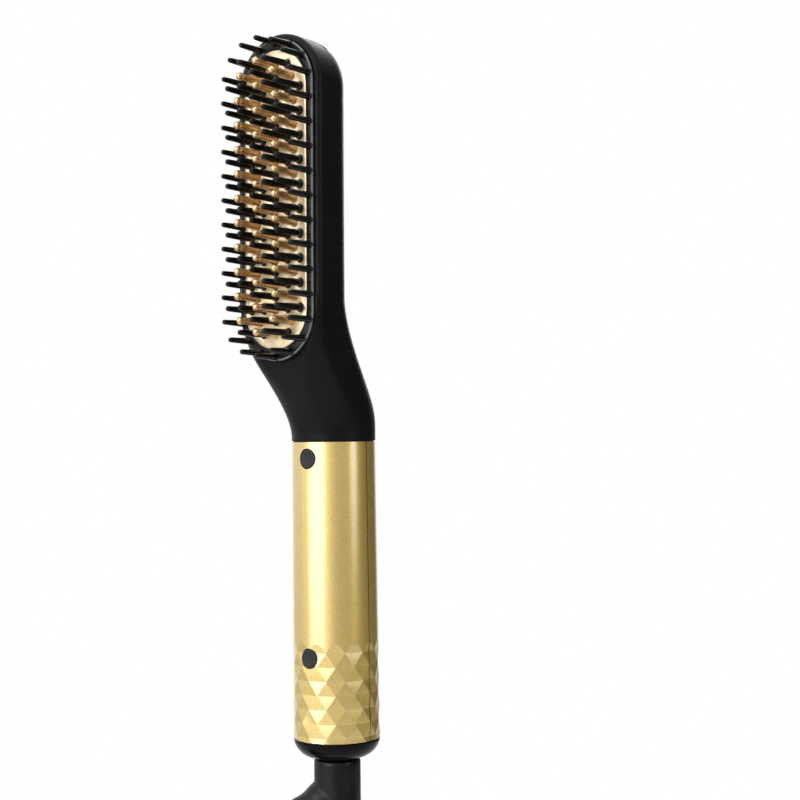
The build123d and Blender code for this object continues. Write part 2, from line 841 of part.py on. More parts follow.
with BuildPart() as power_relay:
    with BuildSketch(back_plane(board_back - board_thickness)):
        with Locations((0, relay_z)):
            RectangleRounded(relay_width, relay_length, relay_width / 20)
    extrude(amount=-relay_height)
save(power_relay.part, "power_relay")

with BuildPart() as indicator_led:
    with BuildSketch(back_plane(board_back)):
        with Locations((0, led_z)):
            Circle(led_radius)
    extrude(amount=led_height)
    fillet(indicator_led.faces().sort_by(Axis.Y)[-1].edges(), led_radius * 0.9)
save(indicator_led.part, "indicator_led")

with BuildPart() as lamp_lens:
    with BuildSketch(back_plane(pad_inner)):
        with Locations((0, led_z)):
            SlotOverall(led_length - 2 * running_fit, led_width - 2 * running_fit, rotation=90)
    extrude(amount=panel_floor + lens_proud - pad_inner)
    with BuildSketch(back_plane(pad_inner)):
        with Locations((0, led_z)):
            SlotOverall(led_length + 2 * lens_flange, led_width + 2 * lens_flange, rotation=90)
    extrude(amount=-lens_flange_height)
save(lamp_lens.part, "lamp_lens")

# ================================================================ end cap and swivel
cap_bottom_z = -grip_height
cap_floor_z = cap_bottom_z + cap_floor
cap_spigot_z = handle_bottom_z + cap_spigot_length
bearing_top_z = cap_bottom_z + bearing_length
cap_spigot_radius = handle_bore - running_fit

with BuildPart() as end_cap:
    with BuildSketch(Plane.XZ):
        with BuildLine():
            Line((cap_top_radius, handle_bottom_z), (cap_top_radius, handle_bottom_z - cap_straight))
            ThreePointArc(
                (cap_top_radius, handle_bottom_z - cap_straight),
                (cap_bulge, cap_bottom_z + cap_bulge_rise),
                (cap_land, cap_bottom_z),
            )
            Polyline(
                (cap_land, cap_bottom_z),
                (bearing_radius, cap_bottom_z),
                (bearing_radius, bearing_top_z),
                (bearing_radius + bearing_wall, bearing_top_z),
                (bearing_radius + bearing_wall, cap_floor_z),
                (cap_spigot_radius - cap_spigot_wall, cap_floor_z),
                (cap_spigot_radius - cap_spigot_wall, cap_spigot_z),
                (cap_spigot_radius, cap_spigot_z),
                (cap_spigot_radius, handle_bottom_z),
                (cap_top_radius, handle_bottom_z),
            )
        make_face()
    revolve(axis=Axis.Z)
save(end_cap.part, "end_cap")

swivel_top_z = cap_bottom_z - swivel_gap
swivel_bottom_z = swivel_top_z - swivel_length
stem_radius = bearing_radius - running_fit
stem_top_z = swivel_top_z + stem_rise
clip_z = bearing_top_z + loose_fit
ring_top_z = stem_top_z - slip_ring_top_gap
ring_heights = (ring_top_z - slip_ring_height - slip_ring_spacing, ring_top_z - slip_ring_height)
outlet_tilt = radians(outlet_pitch)
heading = radians(outlet_heading)
outlet_dir = Vector(cos(heading) * cos(outlet_tilt), sin(heading) * cos(outlet_tilt), -sin(outlet_tilt))
outlet_start = Vector(0, 0, swivel_top_z - outlet_drop)
outlet_plane = Plane(origin=outlet_start, z_dir=outlet_dir)

with BuildPart() as swivel_elbow:
    with BuildSketch(Plane.XZ):
        with BuildLine():
            Polyline(
                (0, stem_top_z),
                (stem_radius, stem_top_z),
                (stem_radius, clip_z + clip_thickness + running_fit),
                (stem_radius - clip_groove, clip_z + clip_thickness + running_fit),
                (stem_radius - clip_groove, clip_z),
                (stem_radius, clip_z),
                (stem_radius, swivel_top_z),
                (swivel_radius - swivel_edge, swivel_top_z),
                (swivel_radius, swivel_top_z - swivel_edge),
                (swivel_radius, swivel_bottom_z + swivel_dome),
            )
            EllipticalCenterArc(
                (0, swivel_bottom_z + swivel_dome), swivel_radius, swivel_dome, 0, arc_size=-90,
            )
            Line((0, swivel_bottom_z), (0, stem_top_z))
        make_face()
    revolve(axis=Axis.Z)
    with BuildSketch(outlet_plane):
        Circle(outlet_radius)
    extrude(amount=outlet_reach)
save(swivel_elbow.part, "swivel_elbow")

with BuildPart() as retaining_clip:
    with BuildSketch(Plane.XY.offset(clip_z + running_fit / 2)):
        Circle(clip_radius)
        Circle(stem_radius - clip_groove + snug_fit, mode=Mode.SUBTRACT)
        with Locations((0, clip_radius)):
            Rectangle(2 * (stem_radius - clip_groove), 2 * clip_radius, mode=Mode.SUBTRACT)
    extrude(amount=clip_thickness)
save(retaining_clip.part, "retaining_clip")

with BuildPart() as slip_rings:
    for height in ring_heights:
        with BuildSketch(Plane.XY.offset(height)):
            Circle(stem_radius + slip_ring_wall)
            Circle(stem_radius + snug_fit / 2, mode=Mode.SUBTRACT)
        extrude(amount=slip_ring_height)
save(slip_rings.part, "slip_rings")

carrier_bore = clip_radius + running_fit
carrier_inner = stem_radius + slip_ring_wall + carrier_gap
brush_start = stem_radius + slip_ring_wall + running_fit
brush_heights = [height + slip_ring_height / 2 for height in ring_heights]


def brush_plane(index):
    """Plane that brush number index starts from, facing away from the axis."""
    side = 1 if index == 0 else -1
    return Plane(
        origin=(side * brush_start, 0, brush_heights[index]),
        x_dir=(0, 1, 0),
        z_dir=(side, 0, 0),
    )


with BuildPart() as contact_carrier:
    with BuildSketch(Plane.XY.offset(cap_spigot_z)):
        Circle(cap_spigot_radius)
        Circle(carrier_bore, mode=Mode.SUBTRACT)
    extrude(amount=carrier_flange)
    with BuildSketch(Plane.XY.offset(cap_spigot_z + carrier_flange)):
        Circle(carrier_inner + carrier_wall)
        Circle(carrier_inner, mode=Mode.SUBTRACT)
    extrude(amount=carrier_height - carrier_flange)
    for index in range(2):
        with BuildSketch(brush_plane(index)):
            Rectangle(brush_width + 2 * snug_fit, brush_height + 2 * snug_fit)
        extrude(amount=brush_length, mode=Mode.SUBTRACT)
save(contact_carrier.part, "contact_carrier")

with BuildPart() as contact_brushes:
    for index in range(2):
        with BuildSketch(brush_plane(index)):
            Rectangle(brush_width, brush_height)
        extrude(amount=brush_length)
save(contact_brushes.part, "contact_brushes")

with BuildPart() as supply_leads:
    for index in range(2):
        side = 1 if index == 0 else -1
        start_x = side * (brush_start + brush_length - lead_radius)
        start_z = brush_heights[index] + brush_height / 2
        add(wire([
            (start_x, 0, start_z),
            (start_x, 0, start_z + 3 * lead_radius),
            (side * board_post_x, board_middle, board_bottom_z - 3 * lead_radius),
            (side * board_post_x, board_middle, board_bottom_z),
        ], lead_radius, lead_radius))
save(supply_leads.part, "supply_leads")

# ================================================================ cord
relief_plane = outlet_plane.offset(outlet_reach)
relief_tip = outlet_plane.offset(outlet_reach + relief_length).origin

with BuildPart() as strain_relief:
    with BuildSketch(relief_plane):
        Circle(relief_root_radius)
    with BuildSketch(relief_plane.offset(relief_length)):
        Circle(relief_tip_radius)
    loft()
    rib_pitch = relief_length / (relief_ribs + 1)
    for rib in range(1, relief_ribs + 1):
        share = rib / (relief_ribs + 1)
        radius = relief_root_radius + (relief_tip_radius - relief_root_radius) * share
        with BuildSketch(relief_plane.offset(rib * rib_pitch - relief_rib_gap / 2)):
            Circle(relief_root_radius + relief_rib_depth)
            Circle(radius - relief_rib_depth, mode=Mode.SUBTRACT)
        extrude(amount=relief_rib_gap, mode=Mode.SUBTRACT)
save(strain_relief.part, "strain_relief")

# hanging stretch, as (outwards, upwards) from the tip of the strain relief
cord_route = [
    (0.0, 0.0),
    (12.98, -5.24),
    (24.09, -16.75),
    (29.90, -32.72),
    (29.90, -48.71),
]
bend_share = 0.45


def cord_place(outwards, upwards):
    """Point of the hanging stretch in the part's own frame."""
    return relief_tip + Vector(cos(heading) * outwards, sin(heading) * outwards, upwards)


cord_points = [cord_place(*place) for place in cord_route]
runs = [cord_points[i + 1] - cord_points[i] for i in range(len(cord_points) - 1)]
bends = []
for before, after in zip(runs, runs[1:]):
    turn = radians(before.get_angle(after))
    bends.append(bend_share * min(before.length, after.length) / tan(turn / 2))
print("cord bend radii:", [round(bend, 1) for bend in bends])

with BuildPart() as cord:
    with BuildLine() as cord_path:
        FilletPolyline(*cord_points, radius=bends)
    with BuildSketch(Plane(origin=cord_path.line @ 0, z_dir=cord_path.line % 0)):
        Circle(cord_radius)
    sweep(path=cord_path.line)
cord_length = cord_path.wire().length
print(f"cord tube: {cord_length:.1f} mm, volume ratio {cord.part.volume / (pi * cord_radius**2 * cord_length):.4f}")
save(cord.part, "cord")

across = Vector(-sin(heading), cos(heading), 0)
outwards = Vector(cos(heading), sin(heading), 0)
hank_top = cord_points[-1] + outwards * hank_entry + Vector(0, 0, hank_sink)
hank_plane = Plane(
    origin=hank_top - Vector(0, 0, hank_length / 2),
    x_dir=across,
    z_dir=outwards,
)
hank_rise = hank_length / 2 - hank_loop_radius
waist_radius = (hank_rise**2 + hank_waist**2 - hank_loop_radius**2) / (2 * (hank_loop_radius - hank_waist))
waist_center = hank_waist + waist_radius
joint_share = hank_loop_radius / hypot(waist_center, hank_rise)
joint_x = waist_center * joint_share
joint_z = hank_rise * (1 - joint_share)

with BuildPart() as cord_hank:
    with BuildSketch(hank_plane):
        with BuildLine():
            ThreePointArc((joint_x, joint_z), (0, hank_length / 2), (-joint_x, joint_z))
            ThreePointArc((-joint_x, joint_z), (-hank_waist, 0), (-joint_x, -joint_z))
            ThreePointArc((-joint_x, -joint_z), (0, -hank_length / 2), (joint_x, -joint_z))
            ThreePointArc((joint_x, -joint_z), (hank_waist, 0), (joint_x, joint_z))
        make_face()
    extrude(amount=hank_thickness / 2, both=True)
    hank_faces = cord_hank.faces().filter_by(GeomType.PLANE)
    fillet(hank_faces.edges(), hank_edge)
save(cord_hank.part, "cord_hank")

tie_waist = waist_center - sqrt(waist_radius**2 - (tie_height / 2)**2) + loose_fit
tie_half_thickness = hank_thickness / 2 + loose_fit
tie_plane = Plane(origin=hank_plane.origin - Vector(0, 0, tie_height / 2), x_dir=across, z_dir=(0, 0, 1))

with BuildPart() as cord_tie:
    with BuildSketch(tie_plane):
        RectangleRounded(
            2 * (tie_waist + tie_thickness), 2 * (tie_half_thickness + tie_thickness),
            hank_edge / 2 + tie_thickness,
        )
        RectangleRounded(2 * tie_waist, 2 * tie_half_thickness, hank_edge / 2, mode=Mode.SUBTRACT)
    extrude(amount=tie_height)
save(cord_tie.part, "cord_tie")

tail_plane = Plane(origin=hank_top - Vector(0, 0, hank_length - hank_sink), x_dir=across, z_dir=(0, 0, -1))
with BuildPart() as cord_tail:
    with BuildSketch(tail_plane):
        Circle(cord_radius)
    extrude(amount=tail_length)
save(cord_tail.part, "cord_tail")

neck_plane = tail_plane.offset(tail_length)
plug_plane = neck_plane.offset(plug_neck_length)
plug_face = plug_plane.offset(plug_length)

with BuildPart() as plug_blades:
    with BuildSketch(plug_face.offset(-blade_root)):
        with Locations((-blade_spacing / 2, 0), (blade_spacing / 2, 0)):
            Rectangle(blade_thickness, blade_width)
    extrude(amount=blade_root + blade_length)
    hole_center = plug_face.offset(blade_hole_offset).origin
    with BuildSketch(Plane(origin=hole_center, x_dir=outwards, z_dir=across)):
        Circle(blade_hole_radius)
    extrude(amount=blade_spacing, both=True, mode=Mode.SUBTRACT)
save(plug_blades.part, "plug_blades")

with BuildPart() as plug_body:
    with BuildSketch(plug_plane):
        RectangleRounded(plug_width, plug_thickness, plug_edge)
    extrude(amount=plug_length)
    fillet(plug_body.faces().sort_by(Axis.Z)[-1].edges(), plug_edge * 0.9)
    with BuildSketch(neck_plane):
        Circle(plug_neck_tip)
    with BuildSketch(plug_plane):
        Circle(plug_neck_radius)
    loft()
    add(plug_blades.part, mode=Mode.SUBTRACT)
save(plug_body.part, "plug_body")
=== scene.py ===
"""Looks of the heated comb: meshes, finishes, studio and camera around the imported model.

Metres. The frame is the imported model's own: the origin is on the handle's axis at the
middle of the grip, +Z runs up to the head, the bristles point to -Y and the switch
faces +Y.
"""

import json
import logging
from dataclasses import dataclass
from enum import Enum
from functools import cache
from math import atan, cos, pi, radians, sin, sqrt
from typing import Callable, Iterable, Sequence, Union

import bmesh
import bpy
from mathutils import Matrix, Vector

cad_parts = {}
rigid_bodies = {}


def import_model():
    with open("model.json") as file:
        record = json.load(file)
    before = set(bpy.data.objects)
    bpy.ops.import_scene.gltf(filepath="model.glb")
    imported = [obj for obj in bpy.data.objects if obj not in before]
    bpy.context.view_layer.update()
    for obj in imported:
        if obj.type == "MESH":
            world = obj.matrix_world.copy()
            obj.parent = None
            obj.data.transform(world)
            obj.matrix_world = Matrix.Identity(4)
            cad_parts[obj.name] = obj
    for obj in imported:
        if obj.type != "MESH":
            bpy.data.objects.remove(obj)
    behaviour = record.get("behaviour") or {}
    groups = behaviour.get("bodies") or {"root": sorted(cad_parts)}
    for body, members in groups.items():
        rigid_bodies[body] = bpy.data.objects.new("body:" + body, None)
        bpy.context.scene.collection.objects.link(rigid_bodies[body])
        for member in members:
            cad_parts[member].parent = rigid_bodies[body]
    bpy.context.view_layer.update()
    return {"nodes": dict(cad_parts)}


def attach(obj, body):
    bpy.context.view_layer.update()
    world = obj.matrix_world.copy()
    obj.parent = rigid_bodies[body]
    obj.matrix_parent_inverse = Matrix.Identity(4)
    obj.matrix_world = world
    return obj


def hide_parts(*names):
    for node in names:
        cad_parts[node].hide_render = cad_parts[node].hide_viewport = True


log = logging.getLogger("comb")

MM = 0.001
WHITE = (1.0, 1.0, 1.0)
Colour = tuple[float, float, float]
Point = tuple[float, float]
Section = tuple[float, float, float, float]


class Body(Enum):
    """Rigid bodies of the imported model."""

    COMB = "comb"
    SWITCH = "switch"
    SWIVEL = "swivel"


# ---------------------------------------------------------------- shader maths


class Value:
    """A socket, with the arithmetic of its numbers written as Python."""

    def __init__(self, graph: "Graph", socket: bpy.types.NodeSocket) -> None:
        """Wrap an output of one of the graph's nodes."""
        self.graph = graph
        self.socket = socket

    def maths(self, operation: str, *others: Union["Value", float]) -> "Value":
        """Result of a Math node that takes this value and the other operands."""
        return self.graph.value("ShaderNodeMath", {"operation": operation}, dict(enumerate((self, *others))))

    def __add__(self, other: Union["Value", float]) -> "Value":
        """Sum."""
        return self.maths("ADD", other)

    def __sub__(self, other: Union["Value", float]) -> "Value":
        """Difference."""
        return self.maths("SUBTRACT", other)

    def __mul__(self, other: Union["Value", float]) -> "Value":
        """Product."""
        return self.maths("MULTIPLY", other)

    def span(self, low: float, high: float, start: float = 0.0, end: float = 1.0) -> "Value":
        """Map low to high onto start to end, smoothly and clamped."""
        sockets = {"Value": self, 1: low, 2: high, 3: start, 4: end}
        return self.graph.value("ShaderNodeMapRange", {"interpolation_type": "SMOOTHSTEP"}, sockets)


Feed = Union[Value, float, Sequence[float]]
Settings = dict[str, object]
Sockets = dict[Union[str, int], Feed]


class Graph:
    """The node tree of one finish or of the world, around its shader."""

    def __init__(self, owner: Union[bpy.types.Material, bpy.types.World]) -> None:
        """Start with the owner's bare shader.

        Args:
            owner: the new material or world.
        """
        owner.use_nodes = True
        self.owner = owner
        self.tree = owner.node_tree
        self.shader = next(node for node in self.tree.nodes if node.type in ("BSDF_PRINCIPLED", "BACKGROUND"))

    def feed(self, socket: bpy.types.NodeSocket, source: Feed) -> None:
        """Link a source to a socket, or set it as the socket's own value.

        Args:
            socket: the input.
            source: what it gets: a value, a number, a vector or a colour.
        """
        if isinstance(source, Value):
            self.tree.links.new(source.socket, socket)
        elif socket.type == "RGBA":
            socket.default_value = (*source, 1.0)
        else:
            socket.default_value = source

    def node(self, kind: str, settings: Settings, sockets: Sockets) -> bpy.types.Node:
        """Add a node.

        Args:
            kind: the node's type.
            settings: its properties, set first.
            sockets: values or links of its inputs, by name or index.

        Returns:
            The node.
        """
        node = self.tree.nodes.new(kind)
        for name, setting in settings.items():
            setattr(node, name, setting)
        for key, source in sockets.items():
            self.feed(node.inputs[key], source)
        return node

    def value(self, kind: str, settings: Settings, sockets: Sockets, output: Union[str, int] = 0) -> Value:
        """Add a node and wrap one of its outputs."""
        return Value(self, self.node(kind, settings, sockets).outputs[output])

    def place(self, stretch: Sequence[float] = (1.0, 1.0, 1.0)) -> Value:
        """Object coordinates in millimetres.

        Args:
            stretch: factors along the three axes.

        Returns:
            The vector.
        """
        spot = self.value("ShaderNodeTexCoord", {}, {}, "Object")
        scale = [factor / MM for factor in stretch]
        return self.value("ShaderNodeMapping", {}, {"Vector": spot, "Scale": scale})

    def noise(self, size: float, detail: float = 2.0, rough: float = 0.5,
              stretch: Sequence[float] = (1.0, 1.0, 1.0)) -> Value:
        """Cloudy noise whose blobs are size millimetres across."""
        sockets = {"Vector": self.place(stretch), "Scale": 1.0 / size, "Detail": detail, "Roughness": rough}
        return self.value("ShaderNodeTexNoise", {}, sockets)

    def flakes(self, size: float) -> Value:
        """One random number for each flake of size millimetres."""
        cells = self.value("ShaderNodeTexVoronoi", {}, {"Vector": self.place(), "Scale": 1.0 / size}, "Color")
        return self.value("ShaderNodeSeparateColor", {}, {"Color": cells})

    def mix(self, share: Value, first: Colour, second: Colour) -> Value:
        """Blend of two colours, from the first at share 0 to the second at share 1."""
        return self.value("ShaderNodeMix", {"data_type": "RGBA"}, {0: share, 6: first, 7: second}, 2)

    def bump(self, height: Value, depth: float, strength: float) -> Value:
        """Normal of a relief whose height between 0 and 1 is worth depth millimetres."""
        sockets = {"Height": height, "Distance": depth * MM, "Strength": strength}
        return self.value("ShaderNodeBump", {}, sockets)

    def dress(self, sockets: Sockets) -> Union[bpy.types.Material, bpy.types.World]:
        """Feed the shader's sockets.

        Args:
            sockets: values or links, by name.

        Returns:
            The material or world.
        """
        for name, source in sockets.items():
            self.feed(self.shader.inputs[name], source)
        return self.owner


# ---------------------------------------------------------------- finishes


@dataclass(frozen=True)
class MetallicPaint:
    """Sprayed metallic coat: a soft sheen with fine flakes and a slight orange peel."""

    name: str
    light: Colour
    deep: Colour
    roughness: float = 0.33
    metallic: float = 0.85
    flake: float = 0.3
    sparkle: float = 0.6
    peel: float = 0.006
    coat: float = 1.0
    coat_index: float = 2.7
    coat_roughness: float = 0.23

    def make(self) -> bpy.types.Material:
        """Build the material.

        Returns:
            The material.
        """
        graph = Graph(bpy.data.materials.new(self.name))
        flakes = graph.flakes(self.flake)
        cloud = graph.noise(6.0, 3.0)
        peel = flakes * 0.6 + graph.noise(0.5, 1.0) * 0.4
        return graph.dress({
            "Base Color": graph.mix(flakes * self.sparkle + cloud * 0.3, self.light, self.deep),
            "Roughness": flakes * 0.1 + (self.roughness - 0.05),
            "Metallic": self.metallic,
            "Coat Weight": self.coat,
            "Coat IOR": self.coat_index,
            "Coat Roughness": self.coat_roughness,
            "Normal": graph.bump(peel, self.peel, 0.5),
        })


@dataclass(frozen=True)
class MouldedPlastic:
    """Moulded plastic with a spark-eroded grain and slightly uneven gloss."""

    name: str
    colour: Colour
    worn: Colour
    roughness: float = 0.5
    grain: float = 0.3
    depth: float = 0.012
    shine: float = 0.2
    patchy: float = 0.1

    def make(self) -> bpy.types.Material:
        """Build the material.

        Returns:
            The material.
        """
        graph = Graph(bpy.data.materials.new(self.name))
        grain = graph.noise(self.grain, 2.0, 0.6)
        cloud = graph.noise(9.0, 3.0)
        specks = graph.noise(0.7, 0.0).span(0.66, 0.74)
        return graph.dress({
            "Base Color": graph.mix(specks * 0.5 + cloud * 0.35, self.colour, self.worn),
            "Roughness": cloud * self.patchy + grain * 0.08 + (self.roughness - self.patchy / 2 - 0.04),
            "Specular IOR Level": self.shine,
            "Normal": graph.bump(grain, self.depth, 0.6),
        })


@dataclass(frozen=True)
class BareMetal:
    """Uncoated metal with fine drawing lines along Z."""

    name: str
    colour: Colour
    dull: Colour
    roughness: float = 0.3

    def make(self) -> bpy.types.Material:
        """Build the material.

        Returns:
            The material.
        """
        graph = Graph(bpy.data.materials.new(self.name))
        lines = graph.noise(0.25, 2.0, 0.6, (1.0, 1.0, 0.05))
        return graph.dress({
            "Base Color": graph.mix(graph.noise(4.0, 3.0), self.colour, self.dull),
            "Roughness": lines * 0.12 + (self.roughness - 0.06),
            "Metallic": 1.0,
            "Normal": graph.bump(lines, 0.004, 0.5),
        })


@dataclass(frozen=True)
class Ink:
    """Printed ink, with edges slightly broken up by the paint below."""

    name: str
    colour: Colour
    faded: Colour

    def make(self) -> bpy.types.Material:
        """Build the material.

        Returns:
            The material.
        """
        graph = Graph(bpy.data.materials.new(self.name))
        fade = graph.noise(0.2, 2.0).span(0.5, 0.8)
        colour = graph.mix(fade * 0.25, self.colour, self.faded)
        return graph.dress({"Base Color": colour, "Roughness": fade * 0.1 + 0.45})


GOLD = MetallicPaint("gold_paint", (0.90, 0.65, 0.13), (0.64, 0.41, 0.045), 0.43)
PLATE_GOLD = MetallicPaint("plate_gold", (0.95, 0.80, 0.55), (0.80, 0.63, 0.38), 0.42, 0.6, coat=0.3)
TOOTH_GOLD = MetallicPaint("tooth_gold", (0.91, 0.56, 0.23), (0.46, 0.24, 0.075), 0.29, 1.0, flake=0.03,
                           sparkle=0.15, peel=0.0002, coat=0.8, coat_index=2.2, coat_roughness=0.15)
BODY_BLACK = MouldedPlastic("body_black", (0.0035, 0.0035, 0.0037), (0.008, 0.008, 0.0084), 0.4,
                            grain=0.9, depth=0.07, shine=0.13)
FRAME_BLACK = MouldedPlastic("frame_black", (0.006, 0.006, 0.0063), (0.011, 0.011, 0.0115), 0.27,
                             grain=0.25, depth=0.004, shine=0.22)
# Light grey for the middle faces of the frame's outer bevel: a painted highlight along the edge, not the
# plastic's own colour.
FRAME_HIGHLIGHT = MouldedPlastic("frame_highlight", (0.15, 0.15, 0.152), (0.18, 0.18, 0.182), 0.26,
                            grain=0.25, depth=0.004, shine=0.6)
BRISTLE_BLACK = MouldedPlastic("bristle_black", (0.003, 0.003, 0.0032), (0.006, 0.006, 0.0063), 0.2,
                               grain=0.4, depth=0.002, shine=0.3)
CAP_BLACK = MouldedPlastic("cap_black", (0.002, 0.002, 0.0022), (0.003, 0.003, 0.0032), 0.14,
                           grain=2.0, depth=0.002, shine=0.12)
BUTTON_BLACK = MouldedPlastic("button_black", (0.004, 0.004, 0.004), (0.007, 0.007, 0.007), 0.2,
                              grain=1.0, depth=0.002, shine=0.4)
PLUG_GREY = MouldedPlastic("plug_grey", (0.024, 0.024, 0.026), (0.036, 0.036, 0.038), 0.5,
                           grain=0.3, depth=0.008, shine=0.24)
SWIVEL_BLACK = MouldedPlastic("swivel_black", (0.0035, 0.0035, 0.0037), (0.008, 0.008, 0.0084), 0.34,
                              grain=2.2, depth=0.12, shine=0.28, patchy=0.55)
CORD_BLACK = MouldedPlastic("cord_black", (0.009, 0.009, 0.0095), (0.018, 0.018, 0.019), 0.45,
                            grain=0.4, depth=0.01)
LENS = MouldedPlastic("lens_smoke", (0.010, 0.010, 0.008), (0.016, 0.014, 0.010), 0.06,
                      grain=1.5, depth=0.002, shine=0.6)
CERAMIC = MouldedPlastic("heater_ceramic", (0.72, 0.69, 0.62), (0.60, 0.56, 0.48), 0.6)
FILM = MouldedPlastic("film_amber", (0.45, 0.18, 0.03), (0.36, 0.13, 0.02), 0.25)
BOARD = MouldedPlastic("board_green", (0.012, 0.10, 0.035), (0.02, 0.14, 0.05), 0.4)
CHIP = MouldedPlastic("chip_black", (0.012, 0.012, 0.012), (0.02, 0.02, 0.02), 0.5)
YELLOW = MouldedPlastic("capacitor_yellow", (0.62, 0.38, 0.03), (0.55, 0.33, 0.03), 0.35)
BLUE = MouldedPlastic("relay_blue", (0.02, 0.07, 0.28), (0.03, 0.09, 0.32), 0.35)
DIODE = MouldedPlastic("lamp_body", (0.40, 0.05, 0.03), (0.32, 0.04, 0.03), 0.15)
WIRE = MouldedPlastic("wire_white", (0.62, 0.62, 0.60), (0.52, 0.52, 0.50), 0.5)
CARBON = MouldedPlastic("brush_carbon", (0.02, 0.02, 0.02), (0.035, 0.035, 0.035), 0.6)
STEEL = BareMetal("screw_steel", (0.56, 0.56, 0.57), (0.42, 0.42, 0.43))
BRASS = BareMetal("blade_brass", (0.80, 0.66, 0.38), (0.62, 0.48, 0.25))
COPPER = BareMetal("ring_copper", (0.80, 0.42, 0.25), (0.62, 0.30, 0.17))
INK = Ink("mark_ink", (0.012, 0.010, 0.008), (0.06, 0.05, 0.04))

Finish = Union[MetallicPaint, MouldedPlastic, BareMetal, Ink]


@cache
def material(finish: Finish) -> bpy.types.Material:
    """Material of a finish, made at its first use."""
    return finish.make()


# ---------------------------------------------------------------- modelling


def put(name: str, data: bpy.types.ID) -> bpy.types.Object:
    """Add an object to the scene.

    Args:
        name: the object's name.
        data: its mesh, curve, camera or lamp.

    Returns:
        The object.
    """
    thing = bpy.data.objects.new(name, data)
    bpy.context.scene.collection.objects.link(thing)
    return thing


def shift(x: float = 0.0, y: float = 0.0, z: float = 0.0) -> Matrix:
    """Matrix of a move."""
    return Matrix.Translation((x, y, z))


def turned(x: Vector, y: Vector, z: Vector) -> Matrix:
    """Matrix that brings the axes onto three unit vectors; a left-handed set mirrors."""
    return Matrix((x, y, z)).transposed().to_4x4()


def verts_in(items: Iterable[object]) -> list[bmesh.types.BMVert]:
    """The vertices among an operator's results."""
    return [item for item in items if isinstance(item, bmesh.types.BMVert)]


def edges_in(items: Iterable[object]) -> list[bmesh.types.BMEdge]:
    """The edges among an operator's results."""
    return [item for item in items if isinstance(item, bmesh.types.BMEdge)]


